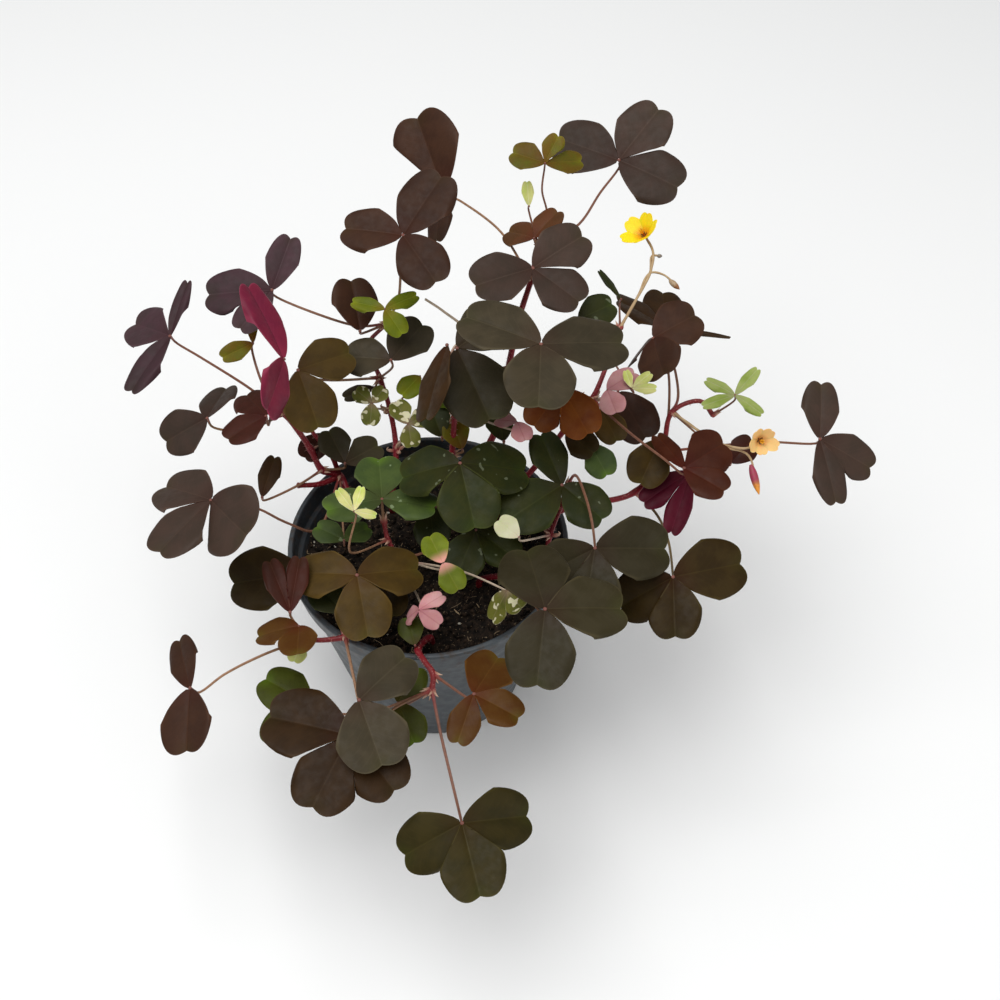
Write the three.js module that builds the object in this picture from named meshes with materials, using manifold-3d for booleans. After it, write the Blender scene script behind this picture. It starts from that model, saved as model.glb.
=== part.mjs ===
// A trailing volcanic sorrel with three-part notched leaves in a round nursery pot.
// Millimetres, +Z up. The origin is the centre of the pot's underside and +Y points to the back.

import * as THREE from 'three';
import { mergeVertices } from 'three/addons/utils/BufferGeometryUtils.js';
import Module from 'manifold-3d';

const wasm = await Module();
wasm.setup();

// Pot sizes
const POT_HEIGHT = 85;
const RIM_RADIUS = 52.5;
const BASE_RADIUS = 37;
const WALL = 1.3;
const RIM_BAND = 9;
const RIM_STEP = 2.2;
const POT_SIDES = 34;
const DRAIN_RADIUS = 4;
const DRAIN_COUNT = 6;
const DRAIN_CIRCLE = 24;

// Soil and stem sizes
const CLEARANCE = 0.3;
const SOIL_DEPTH_BELOW_RIM = 11;
const SOIL_TOP = POT_HEIGHT - SOIL_DEPTH_BELOW_RIM;
const HOLE_DEPTH = 13;
const STEM_SIDES = 6;
const PETIOLE_RADIUS = 0.55;
const PETIOLE_SIDES = 4;
const PETIOLE_STEPS = 4;

// Leaf sizes
const BLADE_THICKNESS = 0.7;
const BLADE_WIDTH_RATIO = 0.9;
const HUB_RADIUS = 1;
const LOBE_REACH = 0.08;
const CORNER_DROP = 0.42;
const SIDE_POWER = 0.62;
const BLADE_GAP = 0.6;
// A leaflet whose seen length is over this share of the real one faces the view, give or take the slack.
const FACING_SHARE = 0.8;
const FACING_SLACK = 1.04;

// Flower sizes
const PETAL_COUNT = 5;
const PETAL_OPENING = THREE.MathUtils.degToRad(58);
const STALK_STRAIGHT = 3;

// Where the picture was taken from: pixels on a 1000 pixel square are turned into places with these.
const VIEW_TILT = THREE.MathUtils.degToRad(50);
const VIEW_DISTANCE = 450;
const VIEW_FOCAL_PIXELS = 1148;
const VIEW_CENTRE_PIXEL = 500;
const VIEW_AIM = new THREE.Vector3(27.3, 19.2, POT_HEIGHT);

const COLOURS = {
  pot: { color: '#34383b', roughness: 0.55 },
  soil: { color: '#2a211a', roughness: 0.95 },
  stem: { color: '#8a4a3c', roughness: 0.6 },
  redStem: { color: '#8f1f2e', roughness: 0.5 },
  plum: { color: '#4a3c40', roughness: 0.55 },
  bronze: { color: '#453328', roughness: 0.55 },
  darkGreen: { color: '#2f3426', roughness: 0.5 },
  greyGreen: { color: '#3f473e', roughness: 0.55 },
  olive: { color: '#4f4a20', roughness: 0.55 },
  magenta: { color: '#7a1f42', roughness: 0.5 },
  rust: { color: '#6a3a1e', roughness: 0.55 },
  leafGreen: { color: '#4c6a1e', roughness: 0.5 },
  yellow: { color: '#f5d816', roughness: 0.5 },
  apricot: { color: '#e5b878', roughness: 0.6 },
};

const VIEW_FORWARD = new THREE.Vector3(0, Math.cos(VIEW_TILT), -Math.sin(VIEW_TILT));
const VIEW_UP = new THREE.Vector3(0, Math.sin(VIEW_TILT), Math.cos(VIEW_TILT));
const VIEW_RIGHT = new THREE.Vector3(1, 0, 0);
const VIEW_POINT = VIEW_AIM.clone().addScaledVector(VIEW_FORWARD, -VIEW_DISTANCE);

// Stems: root is the place in the soil in mm, path holds [column, row, rise above the rim in mm].
const STEMS = {
  stem_back: {
    root: [12, 26], radius: 1.6,
    path: [[500, 420, 14], [508, 370, 40], [520, 315, 60], [531, 280, 68], [538, 245, 72]],
  },
  stem_back_left: {
    root: [-16, 24], radius: 1.3,
    path: [[396, 450, 6], [390, 410, 17], [380, 378, 24], [368, 346, 31], [386, 324, 42]],
  },
  stem_left: {
    root: [-30, 14], radius: 1.6,
    path: [[340, 476, 2], [322, 470, 7], [311, 450, 14], [299, 432, 21], [284, 414, 27], [272, 407, 29]],
  },
  stem_centre: {
    root: [0, 6], radius: 1.4,
    path: [[448, 500, 8], [452, 455, 24], [455, 410, 38], [458, 365, 50], [461, 348, 55]],
  },
  stem_upper_right: {
    root: [26, 18], radius: 1.4,
    path: [[545, 455, 12], [574, 418, 28], [592, 399, 38], [610, 356, 48], [620, 328, 56]],
  },
  stem_right: {
    root: [26, 4], radius: 1.4,
    path: [[568, 508, 6], [635, 492, 9], [662, 452, 18], [672, 412, 30], [700, 401, 34], [713, 415, 34]],
  },
  stem_right_middle: {
    root: [20, -14], radius: 1.3,
    path: [[540, 568, 2], [550, 535, 10], [560, 508, 16], [568, 484, 23]],
  },
  stem_middle: {
    root: [-8, -8], radius: 1.3,
    path: [[400, 560, 2], [388, 540, 9], [384, 522, 14]],
  },
  stem_front: {
    root: [2, -40], radius: 1.5,
    path: [[418, 650, 2], [425, 662, 4.5], [433, 674, 4.5], [432, 690, 2]],
  },
  stem_front_left: {
    root: [-26, -28], radius: 1.4,
    path: [[362, 630, 3], [345, 637, 4.5], [325, 640, 4], [308, 640, 3]],
  },
};

// Leaves: hub and tips are pixels, rise is the hub's height above the rim and length the real
// midrib of the longest leaflet, both in mm; via holds places of the leaf stalk like a stem's path.
const LEAVES = {
  leaf_back_right: {
    on: ['stem_back', 4], via: [[577, 226, 76], [600, 193, 83]],
    hub: [619, 160], rise: 88, length: 24, tips: [[559, 137], [658, 108], [677, 184]], tone: 'plum',
  },
  leaf_back_high: {
    on: ['stem_back', 3], via: [[500, 231, 70], [462, 202, 70]],
    hub: [443, 190], rise: 68, length: 27, tips: [[416, 118], [434, 236], [408, 204]], tone: 'plum',
    broad: [0.95, 0.4, 0.6],
  },
  leaf_back_left: {
    on: ['stem_back_left', 4], via: [[398, 300, 52], [401, 268, 66]],
    hub: [403, 235], rise: 84, length: 24, tips: [[345, 226], [440, 175], [434, 278]], tone: 'bronze',
    broad: [0.85, 0.85, 0.8],
  },
  leaf_back_middle: {
    on: ['stem_back', 3], via: [],
    hub: [533, 268], rise: 76, length: 22, tips: [[476, 284], [582, 234], [579, 299]], tone: 'bronze',
  },
  leaf_back_small: {
    on: ['stem_back', 4], via: [],
    hub: [534, 238], rise: 78, length: 14, tips: [[508, 230], [556, 210]], tone: 'rust',
  },
  leaf_shoot_lime_back: {
    on: ['stem_back', 4], via: [[547, 215, 78], [542, 190, 88]],
    hub: [545, 163], rise: 98, length: 12, tips: [[513, 152], [558, 136], [581, 160]], tone: 'leafGreen',
    broad: [0.9, 0.75, 0.7],
  },
  leaf_upper_right: {
    on: ['stem_right', 2], via: [[668, 420, 26], [668, 370, 42]],
    hub: [653, 338], rise: 50, length: 20, tips: [[695, 314], [661, 371], [628, 361]], tone: 'bronze',
    roll: [45, 0, 0], broad: [1.1, 0.9, 0.4],
  },
  leaf_right_behind: {
    on: ['stem_right', 3], via: [[678, 398, 31], [673, 362, 34]],
    hub: [666, 328], rise: 38, length: 20, tips: [[622, 297], [664, 291], [727, 334]], tone: 'plum',
    broad: [0.8, 0.9, 0.15],
  },
  leaf_crown_rust: {
    on: ['stem_upper_right', 2], via: [],
    hub: [562, 389], rise: 56, length: 16, tips: [[534, 424], [588, 432]], tone: 'rust', broad: 0.9,
  },
  leaf_crown: {
    on: ['stem_centre', 4], via: [[484, 368, 49], [522, 362, 62]],
    hub: [541, 344], rise: 80, length: 27, tips: [[467, 315], [622, 340], [539, 403]], tone: 'greyGreen',
  },
  leaf_crown_left: {
    on: ['stem_centre', 4], via: [],
    hub: [457, 348], rise: 62, length: 26, tips: [[490, 418], [508, 312]], tone: 'darkGreen',
  },
  leaf_crown_edge: {
    on: ['stem_centre', 3], via: [[448, 350, 58]],
    hub: [447, 345], rise: 66, length: 24, tips: [[423, 416]], tone: 'plum', roll: [55], broad: 0.75,
  },
  leaf_back_left_dark: {
    on: ['stem_back_left', 4], via: [],
    hub: [360, 331], rise: 48, length: 20, tips: [[352, 280]], tone: 'bronze', roll: [20],
  },
  leaf_shoot_lime_left: {
    on: ['stem_back_left', 4], via: [],
    hub: [385, 309], rise: 60, length: 11, tips: [[353, 301], [416, 294], [402, 333]], tone: 'leafGreen',
    broad: [0.5, 0.5, 0.8],
  },
  leaf_left_grey: {
    on: ['stem_back_left', 2], via: [],
    hub: [391, 360], rise: 42, length: 21, tips: [[347, 355], [422, 324]], tone: 'greyGreen',
    broad: 1,
  },
  leaf_left_far_upper: {
    on: ['stem_back_left', 4], via: [[360, 326, 40], [320, 315, 50]],
    hub: [272, 290], rise: 60, length: 23, tips: [[290, 238], [208, 293], [240, 327]], tone: 'plum',
    broad: [0.6, 0.8, 0.65],
  },
  leaf_left_magenta: {
    on: ['stem_left', 4], via: [[287, 386, 42]],
    hub: [284, 359], rise: 64, length: 27, tips: [[254, 284], [271, 409]], tone: 'magenta',
    roll: [0, -32], broad: [0.5, 0.6],
  },
  leaf_left_far: {
    on: ['stem_left', 5], via: [[252, 390, 37], [200, 357, 47]],
    hub: [170, 336], rise: 54, length: 24, tips: [[184, 281], [133, 322], [129, 386]], tone: 'plum',
    broad: [0.3, 0.8, 0.45],
  },
  leaf_left_small: {
    on: ['stem_left', 5], via: [[258, 372, 38]],
    hub: [253, 343], rise: 46, length: 14, tips: [[223, 357], [250, 302]], tone: 'leafGreen',
    broad: [0.6, 0.35],
  },
  leaf_left_middle: {
    on: ['stem_left', 4], via: [[245, 430, 30]],
    hub: [207, 418], rise: 36, length: 19, tips: [[225, 387], [165, 441]], tone: 'plum',
    roll: [0, -40], broad: [0.8, 1],
  },
  leaf_left_rust: {
    on: ['stem_left', 5], via: [],
    hub: [266, 416], rise: 42, length: 17, tips: [[228, 436], [246, 392]], tone: 'rust',
  },
  leaf_left_olive: {
    on: ['stem_back_left', 2], via: [[325, 380, 40]],
    hub: [298, 370], rise: 50, length: 21, tips: [[349, 352], [319, 425]], tone: 'olive',
  },
  leaf_left_low: {
    on: ['stem_left', 0], via: [[317, 530, 10], [285, 522, 26], [252, 507, 36]],
    hub: [211, 500], rise: 42, length: 24, tips: [[164, 483], [158, 548], [242, 533]], tone: 'plum',
    roll: [0, 0, 30], broad: [0.9, 0.85, 1.1],
  },
  leaf_front_left_dark: {
    on: ['stem_front_left', 1], via: [[325, 590, 6]],
    hub: [304, 572], rise: 10, length: 26, tips: [[233, 583]], tone: 'bronze',
  },
  leaf_front_left_rust: {
    on: ['stem_front_left', 3], via: [],
    hub: [290, 612], rise: 19, length: 18, tips: [[270, 562], [299, 558]], tone: 'rust', broad: 0.45,
  },
  leaf_front_left_small: {
    on: ['stem_front_left', 3], via: [],
    hub: [299, 626], rise: 15, length: 15, tips: [[258, 634], [297, 652]], tone: 'rust',
  },
  leaf_front_far_left: {
    on: ['stem_front_left', 3], via: [[270, 652, 2], [225, 674, 2]],
    hub: [190, 688], rise: 4, length: 23, tips: [[178, 640], [185, 750]], tone: 'plum',
    broad: [0.5, 0.95],
  },
  leaf_middle: {
    on: ['stem_middle', 2], via: [],
    hub: [382, 499], rise: 24, length: 19, tips: [[328, 507], [379, 458], [433, 503]], tone: 'leafGreen',
    broad: [0.8, 1, 0.8],
  },
  leaf_centre: {
    on: ['stem_centre', 1], via: [],
    hub: [460, 463], rise: 38, length: 24, tips: [[401, 474], [525, 468], [475, 526]], tone: 'darkGreen',
    broad: 0.95,
  },
  leaf_front_middle: {
    on: ['stem_middle', 0], via: [[372, 578, 10]],
    hub: [357, 575], rise: 22, length: 22, tips: [[298, 570], [418, 567], [368, 635]], tone: 'olive',
  },
  leaf_right_brown: {
    on: ['stem_upper_right', 2], via: [[630, 433, 40], [664, 459, 36.5]],
    hub: [684, 468], rise: 34, length: 20, tips: [[724, 443], [724, 489], [657, 433]], tone: 'bronze',
    roll: [26, 0, 0], broad: [1.05, 0.85, 0.4],
  },
  leaf_right_purple: {
    on: ['stem_right', 1], via: [[668, 478, 10]],
    hub: [690, 472], rise: 17, length: 19, tips: [[645, 500], [672, 530]], tone: 'magenta',
    broad: [0.55, 0.4],
  },
  leaf_far_right: {
    on: ['stem_right', 2], via: [[715, 446, 22], [765, 442, 28]],
    hub: [820, 439], rise: 32, length: 22, tips: [[823, 383], [871, 467], [838, 499]], tone: 'bronze',
    broad: [0.65, 0.8, 0.5],
  },
  leaf_shoot_lime_right: {
    on: ['stem_right', 5], via: [],
    hub: [735, 395], rise: 43, length: 12, tips: [[757, 369], [707, 379], [704, 405], [761, 412]],
    tone: 'leafGreen', broad: 0.4,
  },
  leaf_right_middle: {
    on: ['stem_right_middle', 3], via: [[575, 475, 29], [586, 498, 31], [593, 528, 29]],
    hub: [595, 548], rise: 28, length: 24, tips: [[666, 548], [545, 574], [584, 616]], tone: 'darkGreen',
  },
  leaf_right_inner: {
    on: ['stem_right_middle', 2], via: [[549, 495, 20]],
    hub: [562, 485], rise: 27.9, length: 23, tips: [[508, 518], [602, 517], [541, 434]], tone: 'darkGreen',
    broad: [0.9, 0.9, 0.65],
  },
  leaf_front_right: {
    on: ['stem_right_middle', 0], via: [[528, 590, 18]],
    hub: [545, 609], rise: 40, length: 27, tips: [[527, 546], [622, 605], [537, 684]], tone: 'greyGreen',
  },
  leaf_right_low: {
    on: ['stem_right', 1], via: [[655, 512, -1], [668, 540, 6]],
    hub: [673, 577], rise: 20, length: 25, tips: [[620, 606], [675, 635], [741, 563]], tone: 'bronze',
  },
  leaf_front_low: {
    on: ['stem_front', 3], via: [[395, 708, 6]],
    hub: [350, 735], rise: 8, length: 27, tips: [[270, 715], [312, 804], [394, 788]], tone: 'bronze',
  },
  leaf_front_grey: {
    on: ['stem_front_left', 1], via: [[351, 665, 8]],
    hub: [359, 700], rise: 16, length: 22, tips: [[405, 655], [382, 764]], tone: 'greyGreen',
    broad: [0.9, 1.05],
  },
  leaf_front_rust: {
    on: ['stem_front', 2], via: [],
    hub: [474, 694], rise: 7, length: 20, tips: [[499, 655], [518, 716], [458, 741]], tone: 'rust',
    broad: [0.9, 0.8, 0.65],
  },
  leaf_front_far: {
    on: ['stem_front', 3], via: [[441, 735, 0], [454, 790, -4]],
    hub: [462, 823], rise: -6, length: 25, tips: [[528, 815], [403, 855], [480, 895]], tone: 'bronze',
  },
  leaf_front_green: {
    on: ['stem_front', 3], via: [[370, 712, -6]],
    hub: [311, 706], rise: -8, length: 18, tips: [[266, 677], [271, 744]], tone: 'leafGreen',
  },
  leaf_front_olive: {
    on: ['stem_front', 3], via: [],
    hub: [398, 703], rise: -5, length: 17, tips: [[416, 667], [414, 742]], tone: 'leafGreen',
  },
  leaf_right_dark: {
    on: ['stem_upper_right', 2], via: [],
    hub: [618, 392], rise: 30, length: 22, tips: [[646, 436]], tone: 'bronze',
  },
  leaf_right_olive: {
    on: ['stem_right', 2], via: [],
    hub: [660, 440], rise: 27, length: 19, tips: [[641, 482]], tone: 'olive',
  },
};

// Young and half-hidden leaves, fused to the stem that they grow from.
const YOUNG_LEAVES = {
  bud_back: {
    on: ['stem_back', 4], via: [], hub: [529, 206], rise: 84, length: 8, tips: [[527, 182]], broad: 0.5,
  },
  pink_right: {
    on: ['stem_upper_right', 2], via: [],
    hub: [607, 390], rise: 45, length: 11, tips: [[634, 372], [616, 411]],
  },
  lime_right: {
    on: ['stem_upper_right', 3], via: [],
    hub: [632, 388], rise: 48, length: 7.5, tips: [[626, 371], [650, 373], [655, 388]], broad: 0.5,
  },
  pale_front: {
    on: ['stem_middle', 0], via: [[464, 572, 10]],
    hub: [508, 590], rise: 18, length: 11, tips: [[491, 619], [520, 607]],
  },
  pink_front: {
    on: ['stem_middle', 0], via: [],
    hub: [419, 610], rise: 16, length: 9, tips: [[442, 595], [439, 624], [406, 618]], broad: 0.8,
  },
  green_front: {
    on: ['stem_middle', 0], via: [],
    hub: [443, 563], rise: 26, length: 10, tips: [[430, 536], [458, 589]],
  },
  cream_right: {
    on: ['stem_right_middle', 1], via: [],
    hub: [519, 537], rise: 29, length: 9, tips: [[499, 520]],
  },
  lime_middle: {
    on: ['stem_middle', 1], via: [[350, 552, 20]],
    hub: [354, 511], rise: 40, length: 9, tips: [[338, 490], [361, 487], [375, 515]], broad: 0.45,
  },
  lime_front_left: {
    on: ['stem_front_left', 3], via: [], hub: [302, 641], rise: 8, length: 8, tips: [[294, 661]],
  },
  pink_centre: {
    on: ['stem_centre', 2], via: [],
    hub: [517, 422], rise: 40, length: 9, tips: [[496, 419], [525, 439]],
  },
  pale_back_left: {
    on: ['stem_back_left', 1], via: [],
    hub: [372, 403], rise: 26, length: 9, tips: [[356, 390], [384, 388], [370, 424]],
  },
  pale_back: {
    on: ['stem_back_left', 0], via: [],
    hub: [408, 424], rise: 18, length: 10, tips: [[396, 402], [430, 414], [412, 446]],
  },
  green_left: {
    on: ['stem_left', 0], via: [],
    hub: [344, 540], rise: 12, length: 12, tips: [[317, 526], [368, 527]],
  },
  green_right: {
    on: ['stem_upper_right', 1], via: [], hub: [590, 444], rise: 32, length: 12, tips: [[607, 474]],
  },
  dark_inner: {
    on: ['stem_middle', 0], via: [],
    hub: [476, 530], rise: 14, length: 16, tips: [[457, 574], [514, 556]],
  },
  dark_inner_left: {
    on: ['stem_left', 1], via: [],
    hub: [345, 463], rise: 14, length: 14, tips: [[378, 445], [329, 430]],
  },
  plum_right: {
    on: ['stem_right', 3], via: [[720, 455, 24]],
    hub: [731, 463], rise: 24, length: 12, tips: [[752, 440]],
  },
  plum_left: {
    on: ['stem_left', 1], via: [[295, 487, 10]],
    hub: [262, 497], rise: 12, length: 15, tips: [[274, 457]], broad: 0.5,
  },
  edge_back: {
    on: ['stem_upper_right', 4], via: [], hub: [621, 299], rise: 60, length: 12, tips: [[600, 271]], broad: 0.2,
  },
  crown_back: {
    on: ['stem_upper_right', 4], via: [], hub: [578, 320], rise: 58, length: 15, tips: [[612, 303]],
  },
  inner_olive: {
    on: ['stem_centre', 1], via: [], hub: [462, 449], rise: 28, length: 12, tips: [[452, 421]],
  },
  inner_back: {
    on: ['stem_centre', 2], via: [], hub: [442, 437], rise: 30, length: 14, tips: [[430, 404]],
  },
  inner_low: {
    on: ['stem_centre', 0], via: [], hub: [430, 506], rise: 12, length: 15, tips: [[434, 546]],
  },
  rust_low: {
    on: ['stem_upper_right', 1], via: [], hub: [566, 432], rise: 36, length: 13, tips: [[593, 452]],
  },
  olive_low: {
    on: ['stem_upper_right', 1], via: [], hub: [601, 409], rise: 34, length: 12, tips: [[617, 440]],
  },
  left_dark: {
    on: ['stem_left', 2], via: [], hub: [325, 434], rise: 14, length: 12, tips: [[305, 457]],
  },
  green_back_left: {
    on: ['stem_back_left', 1], via: [], hub: [420, 376], rise: 28, length: 12, tips: [[402, 394]],
  },
  olive_gap: {
    on: ['stem_centre', 3], via: [], hub: [455, 380], rise: 42, length: 11, tips: [[445, 407]],
  },
  inner_shade: {
    on: ['stem_back', 0], via: [], hub: [504, 441], rise: 22, length: 14, tips: [[497, 411]],
  },
  low_dark_left: {
    on: ['stem_front_left', 0], via: [], hub: [344, 611], rise: 9, length: 16, tips: [[315, 585]],
  },
  low_dark: {
    on: ['stem_middle', 0], via: [], hub: [385, 583], rise: 8, length: 15, tips: [[393, 615]],
  },
  low_olive: {
    on: ['stem_front', 0], via: [], hub: [415, 645], rise: 5, length: 11, tips: [[408, 618]],
  },
  grey_narrow: {
    on: ['stem_back_left', 2], via: [], hub: [374, 387], rise: 22, length: 12, tips: [[345, 397]], broad: 0.5,
  },
};

// Side branches, flower stalks and buds: radii at the foot and the tip in mm.
const STALKS = {
  left_branch: {
    on: ['stem_left', 0], foot: 1.2, tip: 0.95, path: [[319, 484, 5], [297, 485.5, 9]],
  },
  left_second: {
    on: ['stem_left', 0], foot: 1.1, tip: 0.75, path: [[331, 455, 12], [314, 434, 18], [304, 420, 22]],
  },
  flower_stalk: {
    on: ['stem_upper_right', 4], foot: 0.7, tip: 0.55,
    path: [[637, 298, 62], [650, 273, 66], [653, 252, 69]], flower: 'flower_yellow',
  },
  flower_bud: {
    on: ['stem_upper_right', 4], foot: 0.5, tip: 1.1,
    path: [[637, 298, 62], [650, 273, 66], [664, 275, 66], [677, 287, 64]],
  },
  side_bud: {
    on: ['stem_upper_right', 4], foot: 0.5, tip: 0.8,
    path: [[637, 298, 62], [650, 273, 66], [652, 256, 68], [661, 256, 68]],
  },
  spent_stalk: {
    on: ['stem_right', 3], foot: 0.6, tip: 0.5,
    path: [[722, 444, 32], [748, 448, 33]], flower: 'flower_apricot',
  },
  spent_bud: {
    on: ['stem_right', 3], foot: 0.5, tip: 1.1,
    path: [[722, 446, 32], [748, 455, 30], [757, 487, 24]],
  },
};

const FLOWERS = {
  flower_yellow: { calyx: [645, 236], rise: 71, front: [635, 223], petal: 8.5, tone: 'yellow' },
  flower_apricot: { calyx: [759, 440], rise: 33, front: [767, 444], petal: 6.5, tone: 'apricot' },
};

/** Direction from the view point through a pixel. */
function pixelRay([column, row]) {
  return VIEW_FORWARD.clone()
    .addScaledVector(VIEW_RIGHT, (column - VIEW_CENTRE_PIXEL) / VIEW_FOCAL_PIXELS)
    .addScaledVector(VIEW_UP, (VIEW_CENTRE_PIXEL - row) / VIEW_FOCAL_PIXELS)
    .normalize();
}

/** The place behind a pixel at a height above the pot's rim. */
function placeAt([column, row, rise]) {
  const ray = pixelRay([column, row]);
  const reach = (POT_HEIGHT + rise - VIEW_POINT.z) / ray.z;
  return VIEW_POINT.clone().addScaledVector(ray, reach);
}

/** Both places behind a pixel where a leaflet of a real length that starts at a hub can end. */
function placesAtLength(pixel, hub, length) {
  const ray = pixelRay(pixel);
  const middle = ray.dot(hub.clone().sub(VIEW_POINT));
  const nearest = VIEW_POINT.clone().addScaledVector(ray, middle);
  const seen = nearest.distanceTo(hub);
  const real = seen > FACING_SHARE * length ? seen * FACING_SLACK : length;
  const spare = Math.sqrt(real ** 2 - seen ** 2);
  return [-spare, spare].map((step) => nearest.clone().addScaledVector(ray, step));
}

/** Picks for each leaflet the nearer or farther place, so that the leaf lies flattest. */
function solveLeaf(leaf) {
  const hub = placeAt([...leaf.hub, leaf.rise]);
  const choices = leaf.tips.map((tip) => placesAtLength(tip, hub, leaf.length));
  let best = null;
  for (let code = 0; code < 2 ** choices.length; code += 1) {
    const arms = choices.map((pair, i) => pair[(code >> i) & 1].clone().sub(hub));
    const axes = arms.map((arm) => arm.clone().normalize());
    const tilt = axes.reduce((sum, axis) => sum + (axis.z + 0.12) ** 2, 0);
    let spread = 0;
    for (let i = 0; i < axes.length; i += 1) {
      for (let j = i + 1; j < axes.length; j += 1) {
        spread += (axes[i].dot(axes[j]) + 0.5) ** 2;
      }
    }
    const cost = tilt + 0.6 * spread;
    if (best === null || cost < best.cost) {
      best = { cost, arms, axes };
    }
  }
  return { hub, arms: best.arms, normal: leafNormal(best.axes) };
}

/** The direction that a leaf's upper face looks in. */
function leafNormal(axes) {
  const normal = new THREE.Vector3(0, 0, 0.35);
  for (let i = 0; i < axes.length; i += 1) {
    for (let j = i + 1; j < axes.length; j += 1) {
      const cross = axes[i].clone().cross(axes[j]);
      normal.addScaledVector(cross, cross.z < 0 ? -1 : 1);
    }
  }
  if (axes.length === 1) {
    normal.set(0, -0.5, 1).addScaledVector(axes[0], -axes[0].dot(new THREE.Vector3(0, -0.5, 1)));
  }
  return normal.normalize();
}

/** A closed indexed geometry from points and triangles. */
function meshGeometry(points, triangles) {
  const geometry = new THREE.BufferGeometry();
  geometry.setAttribute('position', new THREE.Float32BufferAttribute(points.flatMap((p) => p.toArray()), 3));
  geometry.setIndex(triangles.flat());
  return geometry;
}

/** A solid for cutting and joining, from a closed geometry. */
function toSolid(source) {
  const bare = source.clone();
  bare.deleteAttribute('normal');
  bare.deleteAttribute('uv');
  const merged = mergeVertices(bare, 1e-5);
  return new wasm.Manifold(new wasm.Mesh({
    numProp: 3,
    vertProperties: new Float32Array(merged.attributes.position.array),
    triVerts: new Uint32Array(merged.index.array),
  }));
}

/** A geometry with flat shading from a solid. */
function toGeometry(solid) {
  const mesh = solid.getMesh();
  const geometry = new THREE.BufferGeometry();
  geometry.setAttribute('position', new THREE.Float32BufferAttribute(mesh.vertProperties, 3));
  geometry.setIndex(Array.from(mesh.triVerts));
  geometry.computeVertexNormals();
  return geometry;
}

/** Joins solids into one. */
function joinAll(solids) {
  return solids.reduce((whole, next) => whole.add(next));
}

/** A closed round tube along points, tapering from one radius to another. */
function taperedTube(points, startRadius, endRadius, sides, steps) {
  const curve = new THREE.CatmullRomCurve3(points, false, 'centripetal');
  const frames = curve.computeFrenetFrames(steps, false);
  const vertices = [];
  const triangles = [];
  for (let i = 0; i <= steps; i += 1) {
    const centre = curve.getPointAt(i / steps);
    const radius = THREE.MathUtils.lerp(startRadius, endRadius, i / steps);
    for (let j = 0; j < sides; j += 1) {
      const angle = (2 * Math.PI * j) / sides;
      vertices.push(centre.clone()
        .addScaledVector(frames.normals[i], radius * Math.cos(angle))
        .addScaledVector(frames.binormals[i], radius * Math.sin(angle)));
    }
  }
  for (let i = 0; i < steps; i += 1) {
    for (let j = 0; j < sides; j += 1) {
      const a = i * sides + j;
      const b = i * sides + ((j + 1) % sides);
      triangles.push([a, b, b + sides], [a, b + sides, a + sides]);
    }
  }
  const last = steps * sides;
  for (let j = 1; j < sides - 1; j += 1) {
    triangles.push([0, j + 1, j], [last, last + j, last + j + 1]);
  }
  return toSolid(meshGeometry(vertices, triangles));
}

/** How far past the midrib's end an outline point reaches, as a share of the length. */
function lobeReach(across) {
  const corner = 1 - Math.sqrt(1 - Math.min(across, 1) ** 4);
  return LOBE_REACH * Math.sin(Math.PI * across) - CORNER_DROP * corner;
}

/** A point of a notched leaflet: along and across are shares of its length and half width. */
function leafletPoint(along, across, length, width, fold, droop) {
  const side = Math.abs(across);
  const x = length * (along + along ** 2 * lobeReach(side));
  const y = (width / 2) * across * (1 - (1 - along) ** 2) ** SIDE_POWER;
  const z = fold * Math.abs(y) - droop * length * along ** 2 - 0.03 * width * side ** 2 * along;
  return new THREE.Vector3(x, y, z);
}

// Rows of across shares from near the leaflet's foot to its notched end, for large and small leaves.
const LARGE_ROWS = [
  { along: 0.33, across: [-1, 0, 1] },
  { along: 0.7, across: [-1, 0, 1] },
  { along: 1, across: [-1, -0.88, -0.45, 0, 0.45, 0.88, 1] },
];
const SMALL_ROWS = [
  { along: 0.5, across: [-1, 0, 1] },
  { along: 1, across: [-1, -0.7, 0, 0.7, 1] },
];

/** Triangles between two rows that may hold different numbers of points. */
function zipRows(lower, upper) {
  const triangles = [];
  let i = 0;
  let j = 0;
  while (i < lower.length - 1 || j < upper.length - 1) {
    const lowerShare = (i + 0.5) / (lower.length - 1);
    const upperShare = (j + 0.5) / (upper.length - 1);
    if (j === upper.length - 1 || (i < lower.length - 1 && lowerShare < upperShare)) {
      triangles.push([lower[i], upper[j], lower[i + 1]]);
      i += 1;
    } else {
      triangles.push([lower[i], upper[j], upper[j + 1]]);
      j += 1;
    }
  }
  return triangles;
}

/** A repeatable share between 0 and 1 from a leaf's number and a channel. */
function vary(number, channel) {
  const wave = Math.sin(number * 12.9898 + channel * 78.233) * 437.5453;
  return wave - Math.floor(wave);
}

/** Matrix that carries a leaflet from its own axes onto a leaf round the hub. */
function leafletMatrix(arm, normal, rollDegrees) {
  const along = arm.clone().normalize();
  const up = normal.clone().addScaledVector(along, -normal.dot(along)).normalize();
  up.applyAxisAngle(along, THREE.MathUtils.degToRad(rollDegrees));
  const across = up.clone().cross(along);
  return new THREE.Matrix4().makeBasis(along, across, up);
}

/** The points on the hub's edge between neighbouring leaflets, anticlockwise from above. */
function hubCorners(axes, normal) {
  if (axes.length === 1) {
    const side = normal.clone().cross(axes[0]).normalize().multiplyScalar(HUB_RADIUS * 0.7);
    return [side.clone().negate(), side];
  }
  return axes.map((axis, i) => {
    const next = axes[(i + 1) % axes.length];
    const middle = axis.clone().add(next);
    const outward = axis.clone().cross(next).dot(normal) < 0 ? -1 : 1;
    middle.addScaledVector(normal, -middle.dot(normal));
    return middle.normalize().multiplyScalar(outward * HUB_RADIUS);
  });
}

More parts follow.
